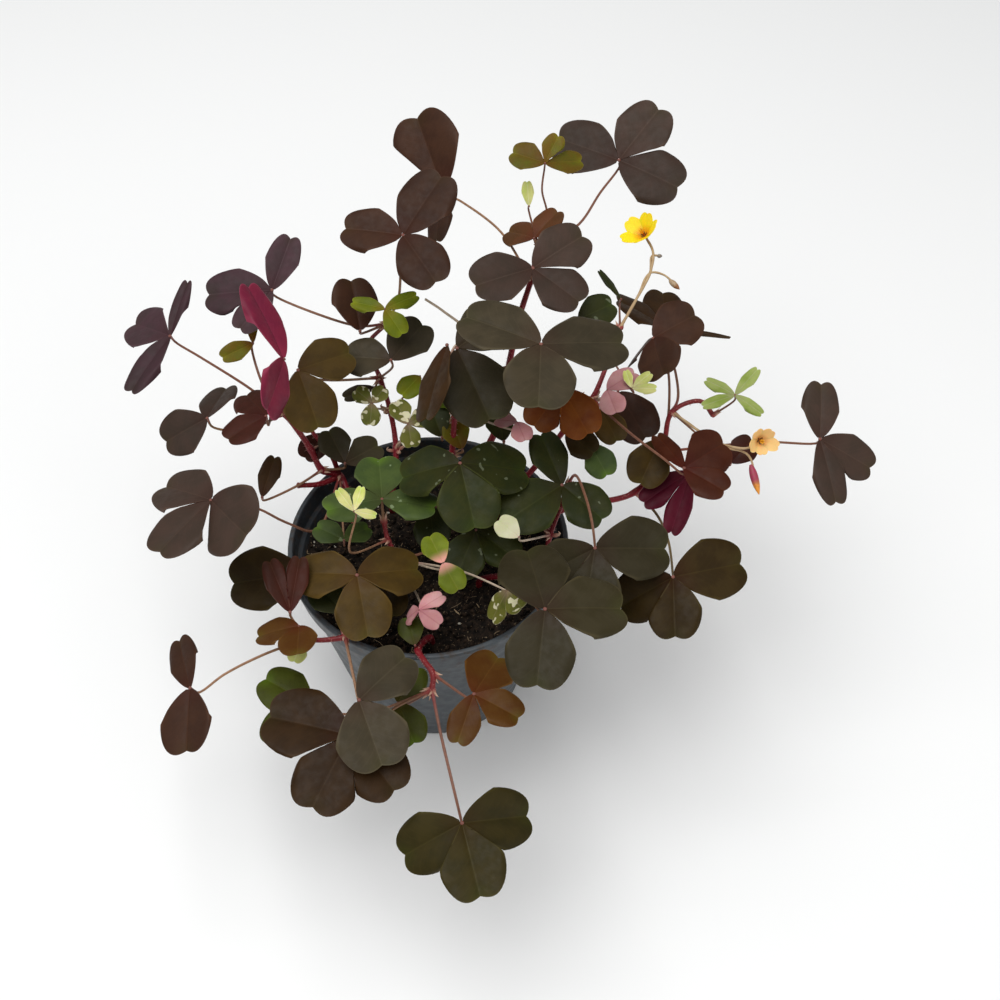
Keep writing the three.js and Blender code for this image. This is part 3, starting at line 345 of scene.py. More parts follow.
YOUNG_LEAVES = (
    Leaf("bud_back", ("stem_back", 4), (), (529, 206), 84, 8, ((527, 182),), Tone.PALE_LIME,
        broad=(0.5,)),
    Leaf("pink_right", ("stem_upper_right", 2), (), (607, 390), 45, 11, ((634, 372), (616, 411)),
        Tone.PINK),
    Leaf("lime_right", ("stem_upper_right", 3), (), (632, 388), 48, 7.5,
        ((626, 371), (650, 373), (655, 388)), Tone.PALE_LIME, broad=(0.5,)),
    Leaf("pale_front", ("stem_middle", 0), ((464, 572, 10),), (508, 590), 18, 11,
        ((491, 619), (520, 607)), Tone.VARIEGATED),
    Leaf("pink_front", ("stem_middle", 0), (), (419, 610), 16, 9, ((442, 595), (439, 624), (406, 618)),
        Tone.PINK, broad=(0.8,)),
    Leaf("green_front", ("stem_middle", 0), (), (443, 563), 26, 10, ((430, 536), (458, 589)),
        Tone.LIME_PINK),
    Leaf("cream_right", ("stem_right_middle", 1), (), (519, 537), 29, 9, ((499, 520),), Tone.CREAM),
    Leaf("lime_middle", ("stem_middle", 1), ((350, 552, 20),), (354, 511), 40, 9,
        ((338, 490), (361, 487), (375, 515)), Tone.PALE_LIME, broad=(0.45,)),
    Leaf("lime_front_left", ("stem_front_left", 3), (), (302, 641), 8, 8, ((294, 661),),
        Tone.PALE_LIME),
    Leaf("pink_centre", ("stem_centre", 2), (), (517, 422), 40, 9, ((496, 419), (525, 439)), Tone.PINK),
    Leaf("pale_back_left", ("stem_back_left", 1), (), (372, 403), 26, 9,
        ((356, 390), (384, 388), (370, 424)), Tone.VARIEGATED),
    Leaf("pale_back", ("stem_back_left", 0), (), (408, 424), 18, 10,
        ((396, 402), (430, 414), (412, 446)), Tone.VARIEGATED),
    Leaf("green_left", ("stem_left", 0), (), (344, 540), 12, 12, ((317, 526), (368, 527)),
        Tone.MID_GREEN),
    Leaf("green_right", ("stem_upper_right", 1), (), (590, 444), 32, 12, ((607, 474),), Tone.MID_GREEN),
    Leaf("dark_inner", ("stem_middle", 0), (), (476, 530), 14, 16, ((457, 574), (514, 556)),
        Tone.DARK_GREEN),
    Leaf("dark_inner_left", ("stem_left", 1), (), (345, 463), 14, 14, ((378, 445), (329, 430)),
        Tone.MOSS),
    Leaf("plum_right", ("stem_right", 3), ((720, 455, 24),), (731, 463), 24, 12, ((752, 440),),
        Tone.MAROON),
    Leaf("plum_left", ("stem_left", 1), ((295, 487, 10),), (262, 497), 12, 15, ((274, 457),),
        Tone.BROWN, broad=(0.5,)),
    Leaf("edge_back", ("stem_upper_right", 4), (), (621, 299), 60, 12, ((600, 271),), Tone.DARK_GREEN,
        broad=(0.2,)),
    Leaf("crown_back", ("stem_upper_right", 4), (), (578, 320), 58, 15, ((612, 303),), Tone.DARK_GREEN),
    Leaf("inner_olive", ("stem_centre", 1), (), (462, 449), 28, 12, ((452, 421),), Tone.OLIVE_LIME),
    Leaf("inner_back", ("stem_centre", 2), (), (442, 437), 30, 14, ((430, 404),), Tone.DARK_GREEN),
    Leaf("inner_low", ("stem_centre", 0), (), (430, 506), 12, 15, ((434, 546),), Tone.DARK_GREEN),
    Leaf("rust_low", ("stem_upper_right", 1), (), (566, 432), 36, 13, ((593, 452),), Tone.UMBER),
    Leaf("olive_low", ("stem_upper_right", 1), (), (601, 409), 34, 12, ((617, 440),), Tone.KHAKI),
    Leaf("left_dark", ("stem_left", 2), (), (325, 434), 14, 12, ((305, 457),), Tone.MAROON),
    Leaf("green_back_left", ("stem_back_left", 1), (), (420, 376), 28, 12, ((402, 394),),
        Tone.FRESH_GREEN),
    Leaf("olive_gap", ("stem_centre", 3), (), (455, 380), 42, 11, ((445, 407),), Tone.OLIVE_GREEN),
    Leaf("inner_shade", ("stem_back", 0), (), (504, 441), 22, 14, ((497, 411),), Tone.DARK_GREEN),
    Leaf("low_dark_left", ("stem_front_left", 0), (), (344, 611), 9, 16, ((315, 585),),
        Tone.DARK_GREEN),
    Leaf("low_dark", ("stem_middle", 0), (), (385, 583), 8, 15, ((393, 615),), Tone.UMBER),
    Leaf("low_olive", ("stem_front", 0), (), (415, 645), 5, 11, ((408, 618),), Tone.OLIVE_GREEN),
    Leaf("grey_narrow", ("stem_back_left", 2), (), (374, 387), 22, 12, ((345, 397),), Tone.GREY_GREEN,
        broad=(0.5,)),
)

ALL_LEAVES = (*LEAVES, *YOUNG_LEAVES)
PALE_STALKED = (Tone.VARIEGATED, Tone.PINK, Tone.CREAM, Tone.LIME_PINK)

BRANCHES = (
    Stalk("left_branch", ("stem_left", 0), 1.2, 0.95, ((319, 484, 5), (297, 485.5, 9))),
    Stalk("left_second", ("stem_left", 0), 1.1, 0.75, ((331, 455, 12), (314, 434, 18), (304, 420, 22))),
)

# A leaf stalk that has lost its leaf, cut off with a blunt end
SPENT_STALKS = (
    Stalk("crown_stub", ("stem_centre", 3), 0.62, 0.5,
        ((452, 352, 54), (466, 332, 57), (443, 311, 64), (425, 299, 68))),
)

FLOWER_STALKS = (
    Stalk("flower_stalk", ("stem_upper_right", 4), 0.7, 0.55,
        ((637, 298, 62), (650, 273, 66), (653, 252, 69)), flower="flower_yellow"),
    Stalk("flower_bud", ("stem_upper_right", 4), 0.5, 0.45,
        ((637, 298, 62), (650, 273, 66), (664, 275, 66), (677, 287, 64))),
    Stalk("side_bud", ("stem_upper_right", 4), 0.5, 0.45,
        ((637, 298, 62), (650, 273, 66), (652, 256, 68), (661, 256, 68))),
    Stalk("spent_stalk", ("stem_right", 3), 0.6, 0.5, ((722, 444, 32), (748, 448, 33)),
        flower="flower_apricot"),
    Stalk("spent_bud", ("stem_right", 3), 0.5, 0.45, ((722, 446, 32), (748, 455, 30), (757, 487, 24))),
)

FLOWERS = (
    Flower("flower_yellow", (645, 236), 71, (635, 223), 8.5, Tone.YELLOW),
    Flower("flower_apricot", (759, 440), 33, (767, 444), 6.5, Tone.APRICOT),
)


@dataclass(frozen=True)
class ViewModel:
    """The camera that the picture's places were read through, in millimetres and pixels."""

    tilt: float = math.radians(50)
    distance: float = 450.0
    focal: float = 1148.0
    frame: float = 1000.0
    aim: Spot = (27.3, 19.2, POT_HEIGHT)

    @property
    def forward(self) -> Vector:
        """The direction that the camera looks in."""
        return Vector((0.0, math.cos(self.tilt), -math.sin(self.tilt)))

    @property
    def upward(self) -> Vector:
        """The picture's upward direction."""
        return Vector((0.0, math.sin(self.tilt), math.cos(self.tilt)))

    @property
    def point(self) -> Vector:
        """The camera's place."""
        return Vector(self.aim) - self.forward * self.distance

    def ray(self, pixel: Pixel) -> Vector:
        """Gives the direction through a pixel.

        Args:
            pixel: Column and row.

        Returns:
            A vector of length one.
        """
        right = (pixel[0] - self.frame / 2) / self.focal
        rise = (self.frame / 2 - pixel[1]) / self.focal
        return (self.forward + Vector((1.0, 0.0, 0.0)) * right + self.upward * rise).normalized()

    def place(self, spot: Spot) -> Vector:
        """Finds the place behind a pixel at a height above the rim.

        Args:
            spot: Column, row and height above the rim.

        Returns:
            The place in millimetres.
        """
        ray = self.ray(spot[:2])
        return self.point + ray * ((POT_HEIGHT + spot[2] - self.point.z) / ray.z)

    def ends(self, pixel: Pixel, hub: Vector, length: float) -> tuple[Vector, Vector]:
        """Finds both places behind a pixel where a leaflet that starts at a hub can end.

        Args:
            pixel: The notch's column and row.
            hub: Where the leaflet starts.
            length: The leaflet's real length.

        Returns:
            The nearer and the farther place.
        """
        ray = self.ray(pixel)
        nearest = self.point + ray * ray.dot(hub - self.point)
        seen = (nearest - hub).length
        real = seen * FACING_SLACK if seen > FACING_SHARE * length else length
        spare = math.sqrt(real**2 - seen**2)
        return nearest - ray * spare, nearest + ray * spare


@dataclass(frozen=True)
class SolvedLeaf:
    """A leaf in the round: its hub, its leaflets' midribs and the way its upper face looks."""

    hub: Vector
    arms: list[Vector]
    normal: Vector


def leaf_normal(axes: list[Vector]) -> Vector:
    """Gives the direction that a leaf's upper face looks in.

    Args:
        axes: The leaflets' directions, each of length one.

    Returns:
        A vector of length one.
    """
    if len(axes) == 1:
        sky = Vector(LONE_LEAFLET_SKY)
        return (sky - axes[0] * axes[0].dot(sky)).normalized()
    normal = Vector((0.0, 0.0, LEVEL_PULL))
    for i, first in enumerate(axes):
        for second in axes[i + 1:]:
            cross = first.cross(second)
            normal += -cross if cross.z < 0 else cross
    return normal.normalized()


def solve_leaf(view: ViewModel, plan: Leaf) -> SolvedLeaf:
    """Picks the nearer or farther end for each leaflet, so that the leaf lies flattest.

    Args:
        view: The view model.
        plan: The leaf's plan.

    Returns:
        The leaf in the round.
    """
    hub = view.place((*plan.hub, plan.rise))
    pairs = [view.ends(tip, hub, plan.length) for tip in plan.tips]
    best: tuple[float, list[Vector], list[Vector]] | None = None
    for code in range(2 ** len(pairs)):
        arms = [pair[(code >> i) & 1] - hub for i, pair in enumerate(pairs)]
        axes = [arm.normalized() for arm in arms]
        cost = sum((axis.z + NATURAL_DROOP) ** 2 for axis in axes)
        for i, first in enumerate(axes):
            cost += SPREAD_WEIGHT * sum((first.dot(second) - SPREAD_COSINE) ** 2 for second in axes[i + 1:])
        if best is None or cost < best[0]:
            best = (cost, arms, axes)
    return SolvedLeaf(hub, best[1], leaf_normal(best[2]))


def vary(number: int, channel: int) -> float:
    """Gives a repeatable share between 0 and 1 from a leaf's number and a channel."""
    wave = math.sin(number * 12.9898 + channel * 78.233) * 437.5453
    return wave - math.floor(wave)


def smooth_line(points: list[Vector], count: int) -> list[Vector]:
    """Runs a smooth line through points and spaces places evenly on it.

    Args:
        points: The places that the line passes.
        count: How many lengths the line is cut into.

    Returns:
        count + 1 places.
    """
    padded = [points[0] * 2 - points[1], *points, points[-1] * 2 - points[-2]]
    dense = [points[0].copy()]
    for p0, p1, p2, p3 in zip(padded, padded[1:], padded[2:], padded[3:]):
        d0, d1, d2 = (max((b - a).length, 1e-4) ** 0.5 for a, b in ((p0, p1), (p1, p2), (p2, p3)))
        start = ((p1 - p0) / d0 - (p2 - p0) / (d0 + d1) + (p2 - p1) / d1) * d1
        end = ((p2 - p1) / d1 - (p3 - p1) / (d1 + d2) + (p3 - p2) / d2) * d1
        for step in range(1, CURVE_STEPS + 1):
            t = step / CURVE_STEPS
            dense.append(
                p1 * (2 * t**3 - 3 * t**2 + 1) + start * (t**3 - 2 * t**2 + t)
                + p2 * (3 * t**2 - 2 * t**3) + end * (t**3 - t**2)
            )
    travelled = np.concatenate([[0.0], np.cumsum([(b - a).length for a, b in zip(dense, dense[1:])])])
    wanted = np.linspace(0.0, travelled[-1], count + 1)
    columns = [np.interp(wanted, travelled, [p[axis] for p in dense]) for axis in range(3)]
    return [Vector(place) for place in zip(*columns)]


@dataclass
class Run:
    """One round stalk: its places and radii in millimetres, and its own shade."""

    points: list[Vector]
    radii: list[float]
    shade: float = 0.5

    @classmethod
    def through(cls, places: list[Vector], radii: Sequence[float], shade: float = 0.5) -> "Run":
        """Runs a smooth line through places, with a step for each radius after the first."""
        return cls(smooth_line(places, len(radii) - 1), list(radii), shade)


class Growth:
    """The plant's skeleton: where stems run, and where stalks leave them."""

    def __init__(self, view: ViewModel) -> None:
        """Runs every main stem.

        Args:
            view: The view model.
        """
        self.view = view
        self.stems = {plan.name: plan for plan in STEMS}
        self.flowers = {plan.name: plan for plan in FLOWERS}
        self.axes = {plan.name: smooth_line(self.stem_points(plan), AXIS_STEPS) for plan in STEMS}

    def stem_points(self, plan: Stem) -> list[Vector]:
        """Gives a stem's places from the bottom of its hole in the soil to its tip.

        Args:
            plan: The stem's plan.

        Returns:
            Places in millimetres.
        """
        x, y = plan.root
        heights = (SOIL_TOP - HOLE_DEPTH + CLEARANCE, SOIL_TOP - ROOT_BELOW, SOIL_TOP + ROOT_ABOVE)
        return [*(Vector((x, y, z)) for z in heights), *(self.view.place(spot) for spot in plan.path)]

    def joint(self, on: tuple[str, int]) -> Vector:
        """Finds the place on a stem's axis nearest to one of its path's points.

        Args:
            on: The stem's name and the number of the path point.

        Returns:
            The place in millimetres.
        """
        wanted = self.view.place(self.stems[on[0]].path[on[1]])
        best = None
        for start, end in zip(self.axes[on[0]], self.axes[on[0]][1:]):
            place, share = intersect_point_line(wanted, start, end)
            place = start.lerp(end, min(max(share, 0.0), 1.0))
            if best is None or (place - wanted).length < (best - wanted).length:
                best = place
        return best

    def petiole(self, plan: Leaf) -> list[Vector]:
        """Gives the places that a leaf's stalk passes, from its stem to the leaf's hub.

        Args:
            plan: The leaf's plan.

        Returns:
            Places in millimetres.
        """
        leaf = solve_leaf(self.view, plan)
        via = [self.view.place(spot) for spot in plan.via]
        ends = [leaf.hub - leaf.normal * below for below in (STALK_APPROACH, STALK_GAP)]
        return [self.joint(plan.on), *via, *ends]

    def stalk_run(self, plan: Stalk, count: int) -> Run:
        """Gives an evenly tapered stalk, which ends under its flower if it has one.

        Args:
            plan: The stalk's plan.
            count: How many lengths it is cut into.

        Returns:
            The stalk's run.
        """
        places = [self.joint(plan.on), *(self.view.place(spot) for spot in plan.path)]
        if plan.flower:
            calyx, axis = self.flower(self.flowers[plan.flower])
            places.append(calyx - axis * 0.5)
        radii = [plan.foot + (plan.tip - plan.foot) * k / count for k in range(count + 1)]
        return Run.through(places, radii)

    def flower(self, plan: Flower) -> tuple[Vector, Vector]:
        """Finds a flower's calyx and the direction that it faces.

        Args:
            plan: The flower's plan.

        Returns:
            The calyx's place and a vector of length one.
        """
        calyx = self.view.place((*plan.calyx, plan.rise))
        front = self.view.ends(plan.front, calyx, plan.petal)[0]
        return calyx, (front - calyx).normalized()


def only(piece: Piece) -> None:
    """Selects one object alone and makes it the active one."""
    bpy.ops.object.select_all(action="DESELECT")
    piece.select_set(True)
    bpy.context.view_layer.objects.active = piece


def started(name: str) -> Piece:
    """Names the active object and its data."""
    piece = bpy.context.active_object
    piece.name = name
    piece.data.name = name
    return piece


def added(operator: Callable[..., set[str]], name: str, **settings: object) -> Piece:
    """Adds a primitive with nothing else selected.

    Args:
        operator: The operator that adds it.
        name: The primitive's name.
        settings: The operator's settings.

    Returns:
        The primitive.
    """
    bpy.ops.object.select_all(action="DESELECT")
    operator(**settings)
    return started(name)


def linked(name: str, data: bpy.types.ID) -> Piece:
    """Makes an object of its data and links it to the scene."""
    piece = bpy.data.objects.new(name, data)
    bpy.context.scene.collection.objects.link(piece)
    return piece


def copied(model: Piece) -> Piece:
    """Copies a model, with a mesh of its own."""
    piece = model.copy()
    piece.data = model.data.copy()
    bpy.context.scene.collection.objects.link(piece)
    return piece


def edit_all() -> None:
    """Opens the active object's mesh for editing, with all its edges selected."""
    bpy.ops.object.mode_set(mode="EDIT")
    bpy.ops.mesh.select_mode(type="EDGE")
    bpy.ops.mesh.select_all(action="SELECT")


def close_outwards() -> None:
    """Turns all the faces outwards and closes the mesh."""
    bpy.ops.mesh.select_all(action="SELECT")
    bpy.ops.mesh.normals_make_consistent(inside=False)
    bpy.ops.object.mode_set(mode="OBJECT")


def extrude_rim(rise: float, share: float, height: float) -> None:
    """Extrudes the selected ring of edges by a rise to a height, and scales it round the pot's axis."""
    bpy.ops.mesh.extrude_edges_move(TRANSFORM_OT_translate={"value": (0.0, 0.0, rise * MM)})
    bpy.ops.transform.resize(value=(share, share, 1.0), center_override=(0.0, 0.0, height * MM))


def bake_modifiers(piece: Piece) -> None:
    """Applies all of a piece's modifiers in their order."""
    only(piece)
    for modifier in list(piece.modifiers):
        bpy.ops.object.modifier_apply(modifier=modifier.name)


def rest_in_mesh(piece: Piece) -> Piece:
    """Moves a piece's place, turn and scale into its mesh."""
    only(piece)
    bpy.ops.object.transform_apply(location=True, rotation=True, scale=True)
    return piece


def smooth(piece: Piece, degrees: float) -> Piece:
    """Shades a piece smoothly, apart from edges sharper than an angle."""
    only(piece)
    bpy.ops.object.shade_smooth_by_angle(angle=math.radians(degrees))
    return piece


def join(name: str, pieces: list[Piece]) -> Piece:
    """Joins pieces into one.

    Args:
        name: The joined piece's name.
        pieces: The pieces, of which the first keeps its object.

    Returns:
        The joined piece.
    """
    only(pieces[0])
    for piece in pieces[1:]:
        piece.select_set(True)
    if len(pieces) > 1:
        bpy.ops.object.join()
    return started(name)


def discard(piece: Piece) -> None:
    """Removes a model that was only made to be copied or to cut."""
    bpy.data.objects.remove(piece, do_unlink=True)


def settle(piece: Piece, slot: str, *nodes: str) -> None:
    """Makes a finished piece ride on the plant, and reports it.

    Args:
        piece: The finished piece.
        slot: The record's material slot; not used.
        nodes: The frame's nodes that it stands for.
    """
    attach(piece, BODY)
    if nodes:
        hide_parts(*nodes)
    log.info("%s: %d faces", piece.name, len(piece.data.polygons))


def dress(piece: Piece, skin: Material, slot: str, *nodes: str) -> None:
    """Gives a piece its only skin and settles it."""
    piece.data.materials.append(skin)
    settle(piece, slot, *nodes)


def turned(arm: Vector, angle: float, axis: Vector) -> Vector:
    """Gives a direction turned by an angle about an axis."""
    arm = arm.copy()
    arm.rotate(Matrix.Rotation(angle, 3, axis))
    return arm


def aim_matrix(origin: Vector, axis: Vector, size: float | Spot, turn: float = 0.0) -> Matrix:
    """Gives the matrix that stands a model on a place with its +Z along a direction.

    Args:
        origin: The place.
        axis: The direction for +Z.
        size: A scale, or one for each axis.
        turn: A turn about the direction, in radians.

    Returns:
        The matrix.
    """
    scale = size if isinstance(size, tuple) else (size, size, size)
    facing = axis.to_track_quat("Z", "Y").to_matrix().to_4x4()
    spun = facing @ Matrix.Rotation(turn, 4, "Z")
    return Matrix.Translation(origin) @ spun @ Matrix.Diagonal((*scale, 1.0))


def mark(mesh: bpy.types.Mesh, title: str, values: np.ndarray) -> None:
    """Keeps a number on each point of a mesh, for its material to read."""
    mesh.attributes.new(title, "FLOAT", "POINT").data.foreach_set("value", values)


def points_of(mesh: bpy.types.Mesh) -> np.ndarray:
    """Reads a mesh's points, one in each row."""
    flat = np.empty(len(mesh.vertices) * 3)
    mesh.vertices.foreach_get("co", flat)
    return flat.reshape(-1, 3)


def scatter(name: str, model: Piece, places: list[Matrix]) -> Piece:
    """Copies a small model to many places as one piece, and removes the model.

    Args:
        name: The piece's name.
        model: The model.
        places: A matrix for each copy.

    Returns:
        The piece, with a "shade" number between 0 and 1 on each copy.
    """
    points = points_of(model.data)
    count = len(points)
    faces = [tuple(polygon.vertices) for polygon in model.data.polygons]
    moved = [points @ np.array(m.to_3x3()).T + np.array(m.translation) for m in places]
    mesh = bpy.data.meshes.new(name)
    mesh.from_pydata(
        np.concatenate(moved).tolist(), [],
        [tuple(i + k * count for i in face) for k in range(len(places)) for face in faces],
    )
    mark(mesh, "shade", np.repeat([vary(k, 3) for k in range(len(places))], count))
    discard(model)
    return linked(name, mesh)


def tubes(name: str, runs: list[Run], resolution: int) -> Piece:
    """Turns runs into one mesh of capped tubes.

    Args:
        name: The piece's name.
        runs: The runs.
        resolution: How round the tubes are.

    Returns:
        The piece, with the attributes "along", 0 at each foot and 1 at each tip, and "shade".
    """
    curve = bpy.data.curves.new(name, "CURVE")
    curve.dimensions = "3D"
    curve.fill_mode = "FULL"
    curve.bevel_depth = MM
    curve.bevel_resolution = resolution
    for run in runs:
        spline = curve.splines.new("POLY")
        spline.points.add(len(run.points) - 1)
        spline.points.foreach_set("co", [v for p in run.points for v in (*(p * MM), 1.0)])
        spline.points.foreach_set("radius", run.radii)
        spline.use_smooth = True
    only(linked(name, curve))
    bpy.ops.object.convert(target="MESH")
    piece = started(name)
    sides = len(piece.data.vertices) // sum(len(run.points) for run in runs)
    along = [k / (len(run.points) - 1) for run in runs for k in range(len(run.points))]
    shade = [run.shade for run in runs for _ in run.points]
    mark(piece.data, "along", np.repeat(along, sides))
    mark(piece.data, "shade", np.repeat(shade, sides))
    edit_all()
    bpy.ops.mesh.fill_holes(sides=sides)
    close_outwards()
    return smooth(piece, THIN_CREASE)


def linear(code: str) -> tuple[float, float, float, float]:
    """Turns an sRGB hex colour into linear red, green, blue and alpha."""
    channels = [int(code[i:i + 2], 16) / 255 for i in (1, 3, 5)]
    bent = [c / 12.92 if c <= 0.04045 else ((c + 0.055) / 1.055) ** 2.4 for c in channels]
    return (bent[0], bent[1], bent[2], 1.0)


def add_node(
    tree: bpy.types.NodeTree, kind: str, inputs: dict[str | int, object] | None = None, **settings: object,
) -> bpy.types.Node:
    """Adds a node with its settings, values and links.

    Args:
        tree: The tree to add it to.
        kind: The node's type.
        inputs: A value, or an output to link, for each input by name or number.
        settings: The node's own settings.

    Returns:
        The node.
    """
    node = tree.nodes.new(kind)
    for name, value in settings.items():
        setattr(node, name, value)
    for key, value in (inputs or {}).items():
        if isinstance(value, Socket):
            tree.links.new(value, node.inputs[key])
        else:
            node.inputs[key].default_value = value
    return node


class Palette:
    """Short words for the nodes of one material."""

    def __init__(self, name: str) -> None:
        """Starts an empty material.

        Args:
            name: The material's name.
        """
        self.material = bpy.data.materials.new(name)
        self.material.use_nodes = True
        self.tree = self.material.node_tree
        self.tree.nodes.clear()
        self.place = add_node(self.tree, "ShaderNodeTexCoord").outputs["Object"]

    def math(self, operation: str, *values: object) -> Socket:
        """Works out one number from others."""
        inputs = dict(enumerate(values))
        return add_node(self.tree, "ShaderNodeMath", inputs, operation=operation).outputs[0]

    def ramp(
        self, value: object, low: float, high: float, start: float = 0.0, end: float = 1.0,
    ) -> Socket:
        """Carries a number from the range low to high onto start to end, smoothly and clamped."""
        inputs = {"Value": value, "From Min": low, "From Max": high, "To Min": start, "To Max": end}
        node = add_node(self.tree, "ShaderNodeMapRange", inputs, interpolation_type="SMOOTHSTEP")
        return node.outputs["Result"]

    def mix(self, share: object, first: object, second: object) -> Socket:
        """Mixes two colours, each a hex colour or an output."""
        pair = [linear(colour) if isinstance(colour, str) else colour for colour in (first, second)]
        inputs = {0: share, 6: pair[0], 7: pair[1]}
        return add_node(self.tree, "ShaderNodeMix", inputs, data_type="RGBA").outputs[2]

    def noise(self, size_mm: float, detail: float = 2.0, stretch: Spot = (1.0, 1.0, 1.0)) -> Socket:
        """Gives cloudy noise whose lumps are about a real size across."""
        place = add_node(self.tree, "ShaderNodeMapping", {"Vector": self.place, "Scale": stretch}).outputs[0]
        inputs = {"Vector": place, "Scale": 1.0 / (size_mm * MM), "Detail": detail}
        return add_node(self.tree, "ShaderNodeTexNoise", inputs).outputs["Fac"]

    def attribute(self, name: str) -> Socket:
        """Reads one of the piece's own numbers."""
        return add_node(self.tree, "ShaderNodeAttribute", attribute_name=name).outputs["Fac"]

    def leaflet_chart(self) -> tuple[Socket, Socket]:
        """Reads a leaflet's chart: the share along its midrib, and the share across it."""
        chart = add_node(self.tree, "ShaderNodeUVMap", uv_map=CHART).outputs[0]
        axes = add_node(self.tree, "ShaderNodeSeparateXYZ", {0: chart}).outputs
        return axes["X"], axes["Y"]

    def bump(self, height: object, depth_mm: float, strength: float = 1.0) -> Socket:
        """Turns a height into a bump of a real depth."""
        inputs = {"Height": height, "Distance": depth_mm * MM, "Strength": strength}
        return add_node(self.tree, "ShaderNodeBump", inputs).outputs["Normal"]

    def finish(self, **sockets: object) -> Material:
        """Closes the material with a surface whose sockets are given by name, with _ for spaces.

        Args:
            sockets: Values or outputs for the surface's sockets.

        Returns:
            The material.
        """
        inputs = {name.replace("_", " "): value for name, value in sockets.items()}
        shader = add_node(self.tree, "ShaderNodeBsdfPrincipled", inputs)
        add_node(self.tree, "ShaderNodeOutputMaterial", {"Surface": shader.outputs[0]})
        return self.material


class Source(Enum):
    """What a wash of colour follows: a piece's own number, or clouds in its material."""

    ALONG = "along"
    SHADE = "shade"
    CLOUD = "cloud"


@dataclass(frozen=True)
class Wash:
    """A colour over the ones below it, as strong as its source.

    The ramp holds the source's range and the strength at both of its ends. Lumps are in millimetres.
    """

    colour: str
    source: Source
    ramp: tuple[float, float, float, float] | None = None
    lump: float = 1.0
    detail: float = 2.0
    stretch: Spot = (1.0, 1.0, 1.0)

    def mask(self, paint: Palette) -> Socket:
        """Draws where the wash lies.

        Args:
            paint: The material's nodes.

        Returns:
            The wash's strength.
        """
        if self.source is Source.CLOUD:
            value = paint.noise(self.lump, self.detail, self.stretch)
        else:
            value = paint.attribute(self.source.value)
        return paint.ramp(value, *self.ramp) if self.ramp else value


@dataclass(frozen=True)
class SkinFinish:
    """A plain natural skin: a ground colour under washes, with a fine grain of a real size and depth."""

    name: str
    ground: str
    washes: tuple[Wash, ...]
    roughness: float = 0.5
    worn: float = 0.0
    shine: float = 0.5
    ior: float = 1.5
    grain: float = 0.0
    grain_detail: float = 2.0
    depth: float = 0.1
    strength: float = 1.0

    def material(self) -> Material:
        """Makes the material, rougher by the worn share in patches.

        Returns:
            The material.
        """
        paint = Palette(self.name)
        colour: object = self.ground
        for wash in self.washes:
            colour = paint.mix(wash.mask(paint), colour, wash.colour)
        sockets: dict[str, object] = {"Roughness": self.roughness}
        if self.worn:
            sockets["Roughness"] = paint.ramp(
                paint.noise(2.0), 0.3, 0.7, self.roughness, self.roughness + self.worn)
        if self.grain:
            grain = paint.noise(self.grain, self.grain_detail)
            sockets["Normal"] = paint.bump(grain, self.depth, self.strength)
        return paint.finish(Base_Color=colour, IOR=self.ior, Specular_IOR_Level=self.shine, **sockets)


# Juicy and satin crimson flesh, darker and duller towards the foot and browner towards the tip
STEM_SKIN = SkinFinish(
    "fleshy crimson stem skin", "#521210",
    (
        Wash("#7c1420", Source.ALONG, (0.0, 0.35, 0.0, 1.0)),
        Wash("#7a2c28", Source.ALONG, (0.6, 1.0, 0.0, 0.7)),
        Wash("#560c16", Source.CLOUD, (0.4, 0.75, 0.0, 0.55), 1.6, 3.0, (1.0, 1.0, 0.4)),
        Wash("#c98a7a", Source.CLOUD, (0.66, 0.72, 0.0, 0.5), 0.7, 1.0),
    ),
    roughness=0.36, worn=0.16, shine=0.4, ior=1.42, grain=0.9, depth=0.12, strength=0.6,
)
# Thin wiry skin, tan to russet, with a red swollen foot and a pinkish tip
STALK_SKIN = SkinFinish(
    "wiry tan leaf stalk skin", "#9a7456",
    (
        Wash("#7a4f3c", Source.SHADE, (0.2, 0.7, 0.0, 1.0)),
        Wash("#6c6030", Source.SHADE, (0.8, 1.0, 0.0, 0.8)),
        Wash("#8c2f34", Source.ALONG, (0.02, 0.22, 0.85, 0.0)),
        Wash("#c9a18c", Source.ALONG, (0.0, 0.035, 0.9, 0.0)),
        Wash("#a8706a", Source.ALONG, (0.9, 1.0, 0.0, 0.6)),
        Wash("#4c2c24", Source.CLOUD, (0.4, 0.7, 0.0, 0.35), 1.2),
    ),
    roughness=0.52, shine=0.35, grain=0.8, depth=0.08, strength=0.5,
)
# A stalk without green or red in it: milky, with a blush at its foot
MILKY_STALK_SKIN = SkinFinish(
    "milky leaf stalk skin", "#bda994",
    (
        Wash("#9c5a54", Source.ALONG, (0.0, 0.3, 1.0, 0.0)),
        Wash("#8c8468", Source.CLOUD, (0.4, 0.7, 0.0, 0.4), 1.2),
    ),
    shine=0.35, grain=0.8, depth=0.08, strength=0.5,
)
# Papery flaps, cream at their tips and pink where they clasp the stem
SHEATH_SKIN = SkinFinish(
    "papery joint sheath", "#94403e",
    (
        Wash("#c9a890", Source.ALONG, (0.1, 0.8, 0.0, 1.0)),
        Wash("#7c4a3a", Source.CLOUD, (0.45, 0.7, 0.0, 0.5), 0.9),
    ),
    roughness=0.6, shine=0.2, grain=0.5, depth=0.08, strength=0.6,
)
# Pale hairs that shine faintly against the light
HAIR_SKIN = SkinFinish("fine pale plant hair", "#c08a80", (Wash("#e3c4b4", Source.SHADE),), roughness=0.4)
# The pinkish flesh where three leaflets meet
HUB_SKIN = SkinFinish("fleshy leaf joint", "#5a2a26", (Wash("#8a5a4c", Source.CLOUD, lump=0.8),), shine=0.35)
